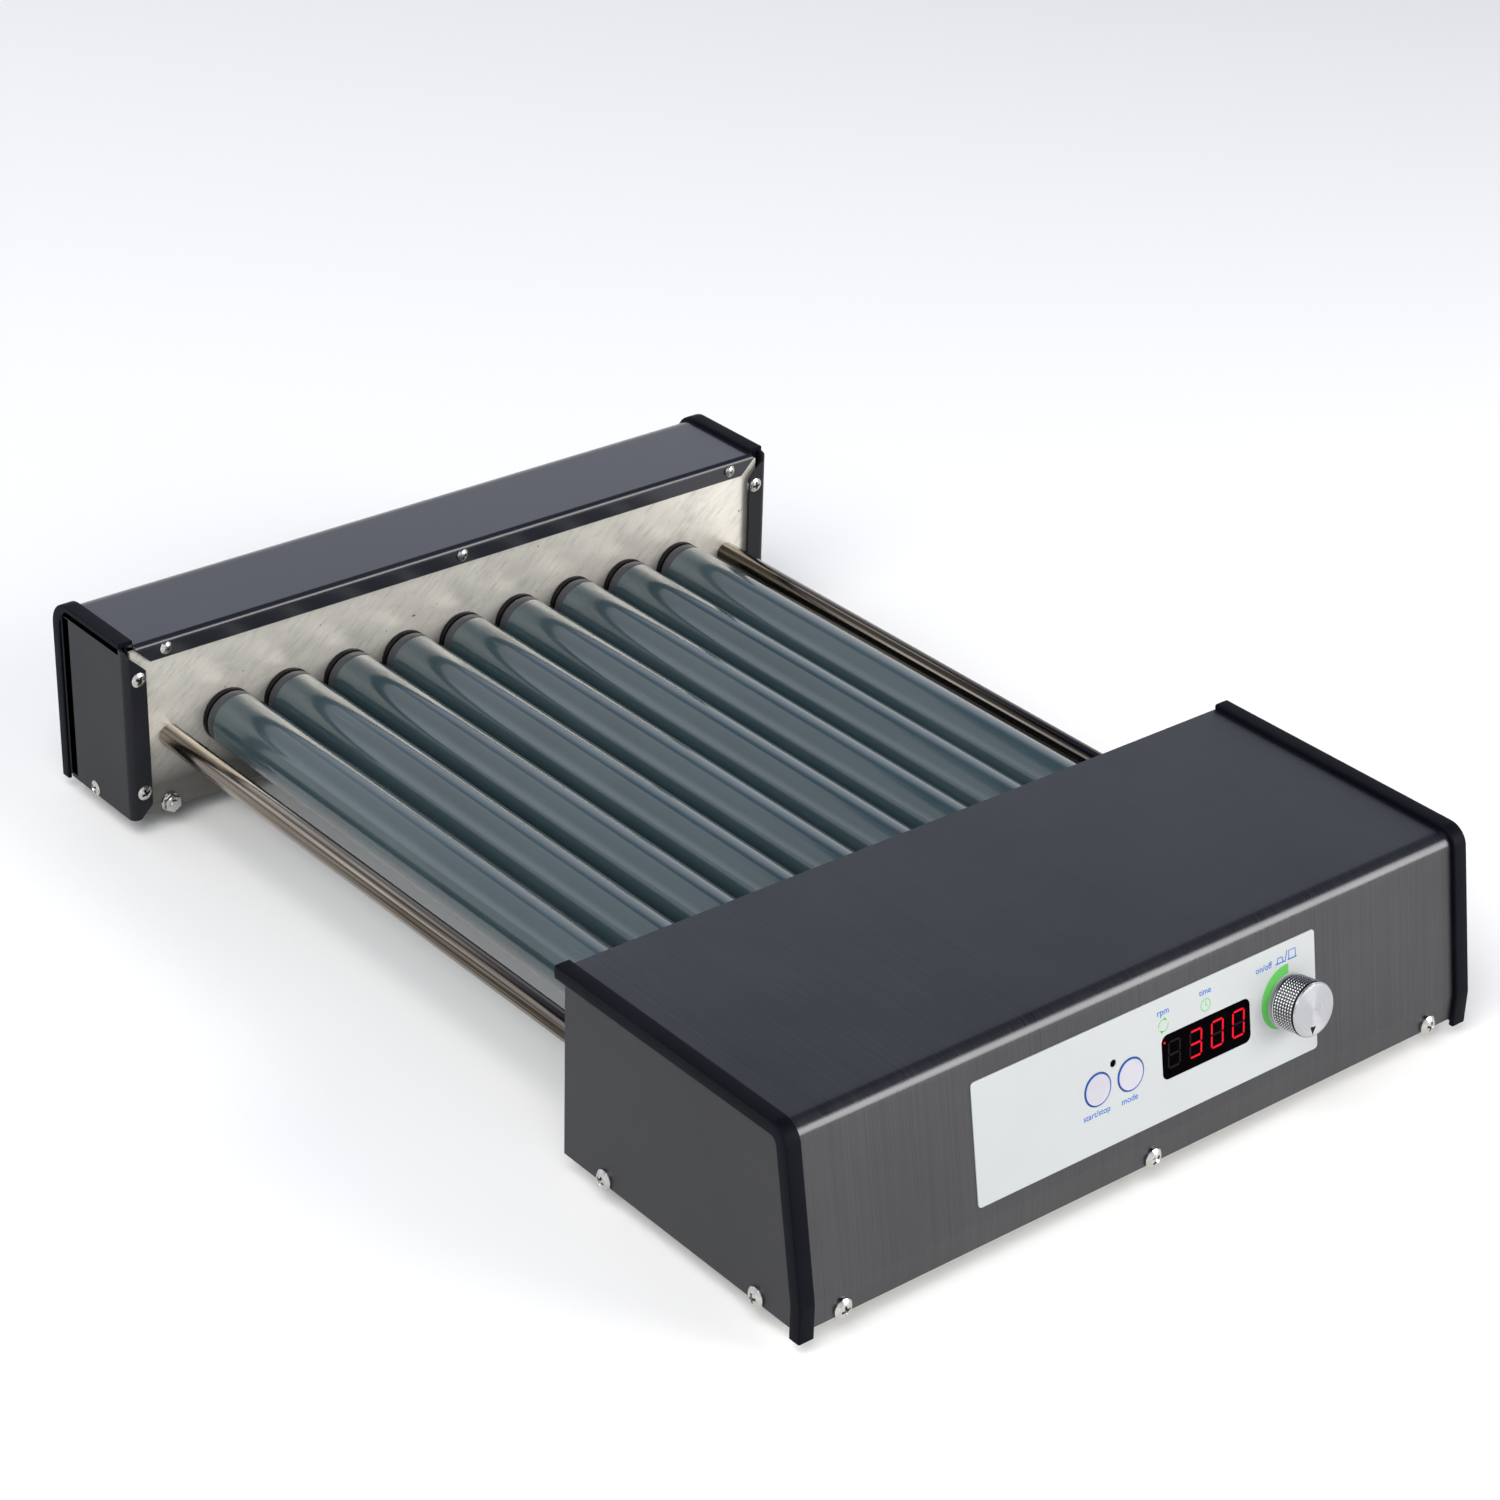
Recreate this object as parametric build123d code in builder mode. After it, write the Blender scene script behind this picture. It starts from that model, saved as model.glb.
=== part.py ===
"""Nine-roller tube mixer: a drive housing in front, a bearing housing behind, rollers between.

X runs across the rollers, Y from the control panel to the bearing housing, Z up.
The origin is the middle of the footprint, on the surface that the rubber feet stand on.
"""
from build123d import *
from math import cos, radians, sin, tan
import os

os.makedirs("parts", exist_ok=True)

# Overall sizes in millimetres
foot_height = 8.0
drive_edge_y = -103.3  # rear edge of the drive cover, where the open roller bed starts
bed_length = 296.6  # from that edge to the front of the bearing housing

# Sheet metal
cover_sheet = 1.2
plate_sheet = 1.5
chassis_sheet = 1.5
seat_gap = 0.1  # between pieces that are screwed or pushed together

# Drive housing
drive_height = 77.5
drive_top_depth = 120.5  # flat of the top, from the rear edge to the front bend
top_bend_radius = 7.0
panel_lean = 10.0  # degrees from upright
strip_height = 11.3  # upright strip below the leaning panel
knee_radius = 5.0
cover_overhang = 4.0  # cover past the roller wall

# Bearing housing
bearing_height = 80.0
bearing_depth = 54.9
back_bend_radius = 10.0
front_bend_radius = 2.5
top_flange_drop = 9.0
side_flange_width = 8.7
flange_corner_cut = 6.0
mitre_gap = 3.0
bearing_plate_rear_gap = 6.5  # end plate short of the back of the cover
bearing_plate_corner = 5.0
cover_corner_inset = 5.0  # front flange of the cover short of the end plate
cover_corner_cut = 7.0

# Rubber edge trim, pushed over the upper edge of each end plate
trim_width = 7.0
trim_proud = 2.0
trim_lip = 3.5
trim_wall = 1.4
trim_tail = 2.5  # past the lower end of the plate
trim_setback = 3.0  # behind the front of the bearing housing
back_lip_width = 5.5
back_web_short = 2.0  # web behind the end plate, short of the cover's bend and of the floor

# Rollers
roller_count = 9
roller_pitch = 30.0
roller_diameter = 25.0
roller_wall = 2.0
axis_height = 35.0  # above the underside of the housings
cap_width = 5.0
cap_spigot = 12.0
push_gap = 0.05  # radial, cap in tube and spindle in cap
spindle_diameter = 8.0
running_gap = 0.05  # radial, spindle in bush
spindle_end = 1.0  # past the bush or the pulley

# Flanged bushes
bush_body_diameter = 12.0
bush_tail = 3.0
bush_flange_diameter = 24.4
bush_flange = 2.5
bush_end_play = 0.8

# Belt drive
pulley_land_radius = 8.0
pulley_flange_radius = 11.0
pulley_flange = 1.0
belt_width = 5.4
belt_thickness = 1.5
belt_gap = 0.3
pulley_end_play = 0.8

# Gear motor in line with the middle roller
coupling_diameter = 20.0
coupling_length = 22.0
coupling_grip = 9.0
coupling_gap = 4.0  # to the bracket, over the motor's boss
motor_shaft_diameter = 6.0
motor_boss_diameter = 12.0
motor_boss = 5.0
gearbox_diameter = 37.0
gearbox_length = 24.0
motor_diameter = 33.0
motor_length = 30.0
bracket_sheet = 2.0
bracket_width = 52.0
bracket_foot = 30.0
bracket_rise = 24.0  # above the motor axis
bracket_screw_inset = 7.0

# Side rods
rod_diameter = 10.0
rod_offset = 28.5  # from the outermost roller's axis
rod_inset = 19.5  # from the outer face of the end plate
rod_drop = 1.0  # below the roller axis
rod_bolt_diameter = 6.0
rod_bolt_flats = 10.0
rod_bolt_head = 4.0
rod_bolt_depth = 14.0

# Control panel, measured across from the middle and up the slope from the knee
label_size = (172.0, 49.0)
label_radius = 1.6
label_thickness = 0.4
panel_middle = 30.0
window_size = (45.5, 18.0)
window_radius = 3.0
window_x = 28.3
button_diameter = 12.8
button_xs = (-26.7, -10.3)
button_gap = 0.3
button_proud = 0.3
button_flange_diameter = 15.5
button_flange = 1.8
button_travel = 0.4
indicator_diameter = 3.0
indicator_place = (-18.6, 37.4)
knob_x = 71.9
knob_diameter = 22.0
knob_height = 11.4
knob_lift = 1.2  # above the label
knob_chamfer = 1.0
knob_travel = 0.8
knob_recess_diameter = 13.0
knob_recess = 3.6

# Control board behind the panel
board_size = (166.0, 40.0)
board_sheet = 1.6
board_depth = 7.0  # behind the inner face of the cover
standoff_diameter = 5.0
standoff_inset = 6.0
encoder_side = 12.0
encoder_rise = 6.0
encoder_bush_diameter = 8.4
encoder_shaft_diameter = 6.0
encoder_shaft_length = 15.5
switch_side = 6.0
switch_stem_diameter = 3.4

# Screws, nuts, feet and power inlet
screw_diameter = 4.0
screw_head_diameter = 8.0
screw_head = 2.6
screw_length = 5.0
small_screw_diameter = 3.0
small_screw_head_diameter = 5.6
small_screw_head = 1.8
screw_hole_gap = 0.2
tapped_gap = 0.05
low_screw_height = 3.0
back_screw_height = 4.0
rear_screw_setback = 29.0
front_screw_setback = 5.0  # behind the front bend
bearing_screw_setback = 28.8
side_screw_inset = 19.3  # from the outer face of the end plate
flange_screw_height = 4.6  # above the lower edge of the top flange
side_flange_screws = (12.3, 65.4)
side_flange_screw_inset = 5.0
plate_nut_inset = 18.3
plate_nut_height = 2.6
nut_flats = 7.0
nut_washer_diameter = 9.0
nut_washer = 0.8
nut_height = 3.2  # with its washer
nut_stud = 4.2  # end of the stud, from the brushed plate
tab_height = 13.0
tab_setback = 8.0  # side tabs of the trays, from the tray's ends
tab_slope = 4.0
foot_diameter = 16.0
foot_spigot_diameter = 6.0
foot_inset_x = 28.0
foot_inset_y = 24.0
inlet_flange_diameter = 11.0
inlet_flange = 1.4
inlet_body_diameter = 8.0
inlet_bore_diameter = 5.6
inlet_pin_diameter = 2.1
inlet_depth = 12.0
inlet_y_from_edge = 40.0
inlet_height = 26.0

# Levels and planes that the pieces share
underside = foot_height
roller_middle = (roller_count - 1) / 2
roller_xs = [(number - roller_middle) * roller_pitch for number in range(roller_count)]
rod_x = roller_xs[-1] + rod_offset
half_width = rod_x + rod_inset
plate_inner = half_width - plate_sheet
cover_half = plate_inner - trim_wall - 2 * seat_gap
trim_outer = half_width + trim_wall + seat_gap
trim_inner = trim_outer - trim_width
chassis_half = plate_inner - seat_gap
axis_z = underside + axis_height

drive_top = underside + drive_height
bend_start_y = drive_edge_y - drive_top_depth
half_turn = radians(90 - panel_lean) / 2
lean = radians(panel_lean)
knee_z = underside + strip_height
corner_y = bend_start_y - top_bend_radius * tan(half_turn)
knee_y = corner_y - (drive_top - knee_z) * tan(lean)
wall_face_y = drive_edge_y - cover_overhang
wall_back_y = wall_face_y - chassis_sheet

bearing_top = underside + bearing_height
bearing_front_y = drive_edge_y + bed_length
bearing_back_y = bearing_front_y + bearing_depth
plate_face_y = bearing_front_y + plate_sheet
plate_back_y = plate_face_y + chassis_sheet
bearing_plate_end_y = bearing_back_y - bearing_plate_rear_gap

front_cap_y = wall_face_y + bush_flange + bush_end_play
rear_cap_y = plate_face_y - bush_flange - bush_end_play
pulley_back_y = wall_back_y - bush_tail - pulley_end_play
land_width = belt_width + 2 * belt_gap
pulley_width = 3 * pulley_flange + 2 * land_width
pulley_front_y = pulley_back_y - pulley_width
spindle_front_y = pulley_front_y - spindle_end
spindle_rear_y = plate_back_y + bush_tail + spindle_end
rod_z = axis_z - rod_drop
panel = Plane(
    origin=(0, knee_y, knee_z), x_dir=(1, 0, 0), z_dir=(0, -cos(lean), sin(lean))
)


def facing_front(y, x=0.0, z=0.0):
    """Upright plane at y that looks to the front, with X across and Z up."""
    return Plane(origin=(x, y, z), x_dir=(1, 0, 0), z_dir=(0, -1, 0))


def side_plane(x, z=0.0):
    """Upright plane at x with Y across and Z up."""
    return Plane(origin=(x, 0, z), x_dir=(0, 1, 0), z_dir=(1, 0, 0))


def save(piece, name):
    """Label a finished piece and write its STEP file."""
    piece.label = name
    export_step(piece, f"parts/{name}.step")


def drive_outline(grow, back_y, bottom_z, mode=Mode.ADD):
    """Side view of the drive housing, its top and front pushed out by grow."""
    top = drive_top + grow
    radius = top_bend_radius + grow
    with BuildLine() as edge:
        path = FilletPolyline(
            (back_y, bottom_z),
            (back_y, top),
            (bend_start_y - radius * tan(half_turn), top),
            (knee_y - grow, knee_z + grow * tan(lean / 2)),
            (knee_y - grow, bottom_z),
            radius=(0, radius, knee_radius + grow),
        )
        Line(path @ 1, path @ 0)
    make_face(edge.edges(), mode=mode)


def bearing_outline(grow, front_y, bottom_z, front_radius=0.0, mode=Mode.ADD):
    """Side view of the bearing housing, its top and back pushed out by grow."""
    top = bearing_top + grow
    back = bearing_back_y + grow
    with BuildLine() as edge:
        path = FilletPolyline(
            (front_y, bottom_z),
            (front_y, top),
            (back, top),
            (back, bottom_z),
            radius=(front_radius, back_bend_radius + grow),
        )
        Line(path @ 1, path @ 0)
    make_face(edge.edges(), mode=mode)


# Places of the screws: each location has its Z axis along the screw, out of the head
low_z = underside + low_screw_height
side_screw_x = half_width - side_screw_inset
drive_side_screw_ys = (drive_edge_y - rear_screw_setback, bend_start_y + front_screw_setback)
bearing_side_screw_y = bearing_front_y + bearing_screw_setback
top_flange_z = bearing_top - top_flange_drop
flange_front_y = plate_face_y - cover_sheet
flange_screw_z = top_flange_z + flange_screw_height
flange_screw_x = half_width - side_flange_screw_inset
three_xs = (-side_screw_x, 0, side_screw_x)
coupling_front_y = spindle_front_y - coupling_length
bracket_face_y = coupling_front_y - coupling_gap

front_screws = [facing_front(knee_y, x, low_z) for x in three_xs]
flange_screws = [facing_front(flange_front_y, x, flange_screw_z) for x in three_xs]
side_flange_places = [
    facing_front(bearing_front_y, side * flange_screw_x, underside + height)
    for side in (-1, 1)
    for height in side_flange_screws
]
back_screws = [
    Plane(origin=(x, bearing_back_y, underside + back_screw_height), x_dir=(-1, 0, 0), z_dir=(0, 1, 0))
    for x in three_xs
]
end_screws = [
    Plane(origin=(side * half_width, y, low_z), x_dir=(0, side, 0), z_dir=(side, 0, 0))
    for side in (-1, 1)
    for y in (*drive_side_screw_ys, bearing_side_screw_y)
]
bracket_screws = [
    Plane(
        origin=(x, bracket_face_y - bracket_foot * 0.6, underside + chassis_sheet + bracket_sheet),
        x_dir=(1, 0, 0),
        z_dir=(0, 0, 1),
    )
    for x in (bracket_screw_inset - bracket_width / 2, bracket_width / 2 - bracket_screw_inset)
]
screw_places = front_screws + side_flange_places + back_screws + end_screws + bracket_screws


def drill(places, diameter, reach):
    """Holes through the piece in hand, at the screw places, up to reach each way."""
    for place in places:
        with BuildSketch(place) as hole:
            Circle(diameter / 2)
        extrude(hole.sketch, amount=reach, both=True, mode=Mode.SUBTRACT)


clear_hole = screw_diameter + 2 * screw_hole_gap
tapped_hole = screw_diameter + 2 * tapped_gap
screw_reach = screw_length + 1.0

# Drive cover: one bent sheet, top, front bend, leaning panel and lower strip
with BuildPart() as drive_cover:
    with BuildSketch(Plane.YZ):
        drive_outline(0, drive_edge_y, underside)
        drive_outline(-cover_sheet, drive_edge_y + 1, underside - 1, mode=Mode.SUBTRACT)
    extrude(amount=cover_half, both=True)
    with BuildSketch(panel):
        with Locations((window_x, panel_middle)):
            RectangleRounded(*window_size, window_radius)
        with Locations(*[(x, panel_middle) for x in button_xs]):
            Circle(button_diameter / 2 + button_gap)
        with Locations(indicator_place):
            Circle(indicator_diameter / 2)
        with Locations((knob_x, panel_middle)):
            Circle(encoder_bush_diameter / 2 + seat_gap)
    extrude(amount=2 * cover_sheet, both=True, mode=Mode.SUBTRACT)
    drill(front_screws, clear_hole, 2 * cover_sheet)
save(drive_cover.part, "drive_cover")

# End plates of the drive housing, flush with the rear wall
inlet_y = drive_edge_y - inlet_y_from_edge
inlet_z = underside + inlet_height
for side, name in ((-1, "left"), (1, "right")):
    with BuildPart() as drive_end_plate:
        with BuildSketch(side_plane(side * plate_inner)):
            drive_outline(-seat_gap, wall_face_y, underside)
        extrude(amount=side * plate_sheet)
        drill([place for place in end_screws if place.origin.X * side > 0][:2], clear_hole, 3)
        if side > 0:
            with BuildSketch(side_plane(plate_inner, inlet_z)):
                with Locations((inlet_y, 0)):
                    Circle(inlet_body_diameter / 2 + seat_gap)
            extrude(amount=plate_sheet, mode=Mode.SUBTRACT)
    save(drive_end_plate.part, f"drive_end_plate_{name}")

# Rubber trim of the drive housing: a web over the cover's edge with a leg each side of the plate
with BuildPart() as drive_trims:
    for side in (-1, 1):
        with BuildSketch(side_plane(side * trim_inner)):
            drive_outline(trim_proud, drive_edge_y, underside - trim_tail)
            drive_outline(0, drive_edge_y + 1, underside - trim_tail - 1, mode=Mode.SUBTRACT)
        extrude(amount=side * trim_width)
        for leg_x in (trim_outer - trim_wall, plate_inner - seat_gap - trim_wall):
            with BuildSketch(side_plane(side * leg_x)):
                drive_outline(0, wall_face_y, underside)
                drive_outline(-trim_lip, wall_face_y + 1, underside - 1, mode=Mode.SUBTRACT)
            extrude(amount=side * trim_wall)
save(drive_trims.part, "drive_trims")

# Drive chassis: one tray whose rear end is the wall that carries the rollers
wall_top = drive_top - cover_sheet - seat_gap
tray_front_y = knee_y + cover_sheet + seat_gap
front_tab_height = strip_height - 2.0
with BuildPart() as drive_chassis:
    with BuildSketch(Plane.YZ):
        with BuildLine():
            Polyline(
                (tray_front_y, underside + front_tab_height),
                (tray_front_y, underside),
                (wall_face_y, underside),
                (wall_face_y, wall_top),
                (wall_back_y, wall_top),
                (wall_back_y, underside + chassis_sheet),
                (tray_front_y + chassis_sheet, underside + chassis_sheet),
                (tray_front_y + chassis_sheet, underside + front_tab_height),
                close=True,
            )
        make_face()
    extrude(amount=cover_half, both=True)
    for side in (-1, 1):
        with BuildSketch(side_plane(side * (chassis_half - chassis_sheet))):
            with BuildLine():
                Polyline(
                    (tray_front_y + tab_setback, underside),
                    (tray_front_y + tab_setback + tab_slope, underside + tab_height),
                    (wall_face_y, underside + tab_height),
                    (wall_face_y, underside),
                    close=True,
                )
            make_face()
        extrude(amount=side * chassis_sheet)
    with BuildSketch(facing_front(wall_face_y, z=axis_z)):
        with Locations(*[(x, 0) for x in roller_xs]):
            Circle(bush_body_diameter / 2 + push_gap)
    extrude(amount=chassis_sheet, mode=Mode.SUBTRACT)
    with BuildSketch(facing_front(wall_face_y, z=rod_z)):
        with Locations((-rod_x, 0), (rod_x, 0)):
            Circle(rod_bolt_diameter / 2 + screw_hole_gap)
    extrude(amount=chassis_sheet, mode=Mode.SUBTRACT)
    drill(front_screws, tapped_hole, screw_reach)
    drill([place for place in end_screws if place.origin.Y < 0], tapped_hole, screw_reach)
    drill(bracket_screws, tapped_hole, screw_reach)
    drive_foot_ys = (tray_front_y + foot_inset_y, wall_back_y - foot_inset_y)
    foot_x = half_width - foot_inset_x
    with BuildSketch(Plane.XY.offset(underside)):
        with Locations(*[(x, y) for x in (-foot_x, foot_x) for y in drive_foot_ys]):
            Circle(foot_spigot_diameter / 2 + seat_gap)
    extrude(amount=chassis_sheet, mode=Mode.SUBTRACT)
save(drive_chassis.part, "drive_chassis")

# Bearing chassis: the brushed plate that faces the rollers, turned back as a tray
tray_back_y = bearing_back_y - cover_sheet - seat_gap
plate_top = bearing_top - front_bend_radius - seat_gap
bearing_foot_y = bearing_front_y + bearing_depth / 2
with BuildPart() as bearing_chassis:
    with BuildSketch(Plane.YZ):
        with BuildLine():
            Polyline(
                (plate_face_y, plate_top),
                (plate_face_y, underside),
                (tray_back_y, underside),
                (tray_back_y, underside + tab_height),
                (tray_back_y - chassis_sheet, underside + tab_height),
                (tray_back_y - chassis_sheet, underside + chassis_sheet),
                (plate_back_y, underside + chassis_sheet),
                (plate_back_y, plate_top),
                close=True,
            )
        make_face()
    extrude(amount=cover_half, both=True)
    for side in (-1, 1):
        with BuildSketch(side_plane(side * (chassis_half - chassis_sheet))):
            with BuildLine():
                Polyline(
                    (plate_back_y + tab_setback, underside),
                    (plate_back_y + tab_setback + tab_slope, underside + tab_height),
                    (bearing_plate_end_y - tab_setback - tab_slope, underside + tab_height),
                    (bearing_plate_end_y - tab_setback, underside),
                    close=True,
                )
            make_face()
        extrude(amount=side * chassis_sheet)
    with BuildSketch(facing_front(plate_back_y, z=axis_z)):
        with Locations(*[(x, 0) for x in roller_xs]):
            Circle(bush_body_diameter / 2 + push_gap)
    extrude(amount=chassis_sheet, mode=Mode.SUBTRACT)
    with BuildSketch(facing_front(plate_back_y, z=rod_z)):
        with Locations((-rod_x, 0), (rod_x, 0)):
            Circle(rod_bolt_diameter / 2 + screw_hole_gap)
    extrude(amount=chassis_sheet, mode=Mode.SUBTRACT)
    drill(flange_screws, small_screw_diameter + 2 * tapped_gap, screw_reach)
    drill(side_flange_places, tapped_hole, screw_reach)
    drill(back_screws, tapped_hole, screw_reach)
    drill([place for place in end_screws if place.origin.Y > 0], tapped_hole, screw_reach)
    with BuildSketch(Plane.XY.offset(underside)):
        with Locations((-foot_x, bearing_foot_y), (foot_x, bearing_foot_y)):
            Circle(foot_spigot_diameter / 2 + seat_gap)
    extrude(amount=chassis_sheet, mode=Mode.SUBTRACT)
save(bearing_chassis.part, "bearing_chassis")

# Cover of the bearing housing: front flange over the plate, top, rounded back
mitre_x = half_width - side_flange_width + mitre_gap
flange_half = half_width - cover_corner_inset
with BuildPart() as bearing_cover:
    with BuildSketch(Plane.YZ):
        bearing_outline(0, flange_front_y, underside, front_bend_radius)
        bearing_outline(
            -cover_sheet,
            flange_front_y + cover_sheet,
            underside - 1,
            front_bend_radius - cover_sheet,
            mode=Mode.SUBTRACT,
        )
    extrude(amount=cover_half, both=True)
    with BuildSketch(facing_front(flange_front_y - 1)):
        with Locations((0, (top_flange_z + underside - 1) / 2)):
            Rectangle(2 * half_width, top_flange_z - underside + 1)
    extrude(amount=-(cover_sheet + 1.5), mode=Mode.SUBTRACT)
    for side in (-1, 1):
        with BuildSketch(facing_front(flange_front_y - 1)):
            with BuildLine():
                Polyline(
                    (side * (flange_half - cover_corner_cut), top_flange_z - 1),
                    (side * (flange_half - cover_corner_cut), top_flange_z),
                    (side * flange_half, top_flange_z + cover_corner_cut),
                    (side * flange_half, bearing_top + 1),
                    (side * half_width, bearing_top + 1),
                    (side * half_width, top_flange_z - 1),
                    close=True,
                )
            make_face()
        extrude(amount=-(front_bend_radius + 1), mode=Mode.SUBTRACT)
    drill(flange_screws, small_screw_diameter + 2 * screw_hole_gap, 3)
    drill(back_screws, clear_hole, 3)
save(bearing_cover.part, "bearing_cover")

# End plates of the bearing housing, with a flange turned in over the brushed plate
for side, name in ((-1, "left"), (1, "right")):
    with BuildPart() as bearing_end_plate:
        with BuildSketch(side_plane(side * plate_inner)):
            with BuildLine():
                plate_path = FilletPolyline(
                    (bearing_front_y, underside),
                    (bearing_front_y, bearing_top - seat_gap),
                    (bearing_plate_end_y, bearing_top - seat_gap),
                    (bearing_plate_end_y, underside),
                    radius=(trim_setback, bearing_plate_corner),
                )
                Line(plate_path @ 1, plate_path @ 0)
            make_face()
        extrude(amount=side * plate_sheet)
        inner_x = half_width - side_flange_width
        flange_top = top_flange_z + cover_corner_cut - mitre_gap * 0.5
        with BuildSketch(facing_front(plate_face_y)):
            with BuildLine():
                Polyline(
                    (side * (half_width - 1.0), underside),
                    (side * (half_width - 1.0), flange_top),
                    (side * inner_x, flange_top - side_flange_width + 1.0),
                    (side * inner_x, underside + flange_corner_cut),
                    (side * (inner_x + flange_corner_cut), underside),
                    close=True,
                )
            make_face()
        extrude(amount=plate_sheet)
        corner = bearing_end_plate.edges().filter_by(Axis.Z).filter_by_position(
            Axis.Y, bearing_front_y - 0.01, bearing_front_y + 0.01
        )
        fillet(corner.sort_by(Axis.X)[0 if side < 0 else -1], plate_sheet * 0.8)
        drill([place for place in side_flange_places if place.origin.X * side > 0], clear_hole, 2)
        drill([place for place in end_screws if place.origin.X * side > 0][2:], clear_hole, 3)
    save(bearing_end_plate.part, f"bearing_end_plate_{name}")

# Rubber trim of the bearing housing, over the top and down the back, with a lip on the plate
trim_front_y = bearing_front_y + trim_setback
with BuildPart() as bearing_trims:
    for side in (-1, 1):
        with BuildSketch(side_plane(side * trim_inner)):
            bearing_outline(trim_proud, trim_front_y, underside - trim_tail)
            bearing_outline(0, trim_front_y - 1, underside - trim_tail - 1, mode=Mode.SUBTRACT)
        extrude(amount=side * trim_width)
        for leg_x in (trim_outer - trim_wall, plate_inner - seat_gap - trim_wall):
            with BuildSketch(side_plane(side * leg_x)):
                bearing_outline(0, trim_front_y, underside)
                bearing_outline(-trim_lip, trim_front_y - 1, underside - 1, mode=Mode.SUBTRACT)
            extrude(amount=side * trim_wall)
        web_front_y = bearing_plate_end_y + seat_gap
        web_back_y = bearing_back_y - trim_lip
        web_height = bearing_height - back_bend_radius - 2 * back_web_short
        web_middle_z = (underside + bearing_top - back_bend_radius) / 2 + back_web_short
        with BuildSketch(side_plane(side * (plate_inner - seat_gap - trim_wall))):
            with Locations(((web_front_y + web_back_y) / 2, web_middle_z)):
                Rectangle(web_back_y - web_front_y + 2 * seat_gap, web_height)
        extrude(amount=side * (trim_wall + plate_sheet))
        with BuildSketch(side_plane(side * (trim_outer - trim_wall))):
            with Locations((web_front_y + (trim_wall - back_lip_width) / 2, underside + bearing_height / 2)):
                Rectangle(back_lip_width + trim_wall, bearing_height - trim_lip)
        extrude(amount=side * trim_wall)
        with BuildSketch(side_plane(side * (plate_inner + seat_gap))):
            with Locations((web_front_y + trim_wall / 2, web_middle_z)):
                Rectangle(trim_wall, web_height)
        extrude(amount=side * (plate_sheet + trim_wall - seat_gap))
save(bearing_trims.part, "bearing_trims")

# Flanged bushes, one in each wall for every roller, their flanges towards the rollers
with BuildPart() as roller_bushes:
    for x in roller_xs:
        for face_y, out in ((wall_face_y, 1), (plate_face_y, -1)):
            with BuildSketch(facing_front(face_y, x, axis_z)):
                Circle(bush_flange_diameter / 2)
                Circle(spindle_diameter / 2 + running_gap, mode=Mode.SUBTRACT)
            extrude(amount=-out * bush_flange)
            with BuildSketch(facing_front(face_y, x, axis_z)):
                Circle(bush_body_diameter / 2)
                Circle(spindle_diameter / 2 + running_gap, mode=Mode.SUBTRACT)
            extrude(amount=out * (chassis_sheet + bush_tail))
save(roller_bushes.part, "roller_bushes")

# Rollers: tube, two end caps, and a spindle turned in one piece with its belt pulley
tube_bore = roller_diameter / 2 - roller_wall
for number, x in enumerate(roller_xs, start=1):
    roller_axis = Axis((x, 0, axis_z), (0, 1, 0))

    with BuildPart() as roller_tube:
        with BuildSketch(facing_front(front_cap_y + cap_width, x, axis_z)):
            Circle(roller_diameter / 2)
            Circle(tube_bore, mode=Mode.SUBTRACT)
        extrude(amount=-(rear_cap_y - front_cap_y - 2 * cap_width))
    save(roller_tube.part, f"roller_{number}_tube")

    with BuildPart() as roller_caps:
        for end_y, inward in ((front_cap_y, 1), (rear_cap_y, -1)):
            with BuildSketch(side_plane(x, axis_z)):
                with BuildLine():
                    Polyline(
                        (end_y, spindle_diameter / 2 + push_gap),
                        (end_y, roller_diameter / 2),
                        (end_y + inward * cap_width, roller_diameter / 2),
                        (end_y + inward * cap_width, tube_bore - push_gap),
                        (end_y + inward * (cap_width + cap_spigot), tube_bore - push_gap),
                        (end_y + inward * (cap_width + cap_spigot), spindle_diameter / 2 + push_gap),
                        close=True,
                    )
                make_face()
            revolve(axis=roller_axis)
    save(roller_caps.part, f"roller_{number}_caps")

    with BuildPart() as roller_spindle:
        lands = [pulley_front_y + pulley_flange]
        lands.append(lands[0] + land_width + pulley_flange)
        grip = coupling_grip if x == 0 else 0
        with BuildSketch(facing_front(spindle_front_y - grip, x, axis_z)):
            Circle(spindle_diameter / 2)
        extrude(amount=-(spindle_rear_y - spindle_front_y + grip))
        with BuildSketch(facing_front(pulley_front_y, x, axis_z)):
            Circle(pulley_flange_radius)
        extrude(amount=-pulley_width)
        for land_y in lands:
            with BuildSketch(facing_front(land_y, x, axis_z)):
                Circle(pulley_flange_radius + 1)
                Circle(pulley_land_radius, mode=Mode.SUBTRACT)
            extrude(amount=-land_width, mode=Mode.SUBTRACT)
    save(roller_spindle.part, f"roller_{number}_spindle")

# Belts: each joins two neighbours, on the front and the rear land by turns
belt_inner = pulley_land_radius + belt_gap
belt_outer = belt_inner + belt_thickness
with BuildPart() as drive_belts:
    for number in range(roller_count - 1):
        belt_y = lands[number % 2] + belt_gap
        middle_x = (roller_xs[number] + roller_xs[number + 1]) / 2
        with BuildSketch(facing_front(belt_y, middle_x, axis_z)):
            SlotCenterToCenter(roller_pitch, 2 * belt_outer)
            SlotCenterToCenter(roller_pitch, 2 * belt_inner, mode=Mode.SUBTRACT)
        extrude(amount=-belt_width)
save(drive_belts.part, "drive_belts")

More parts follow.
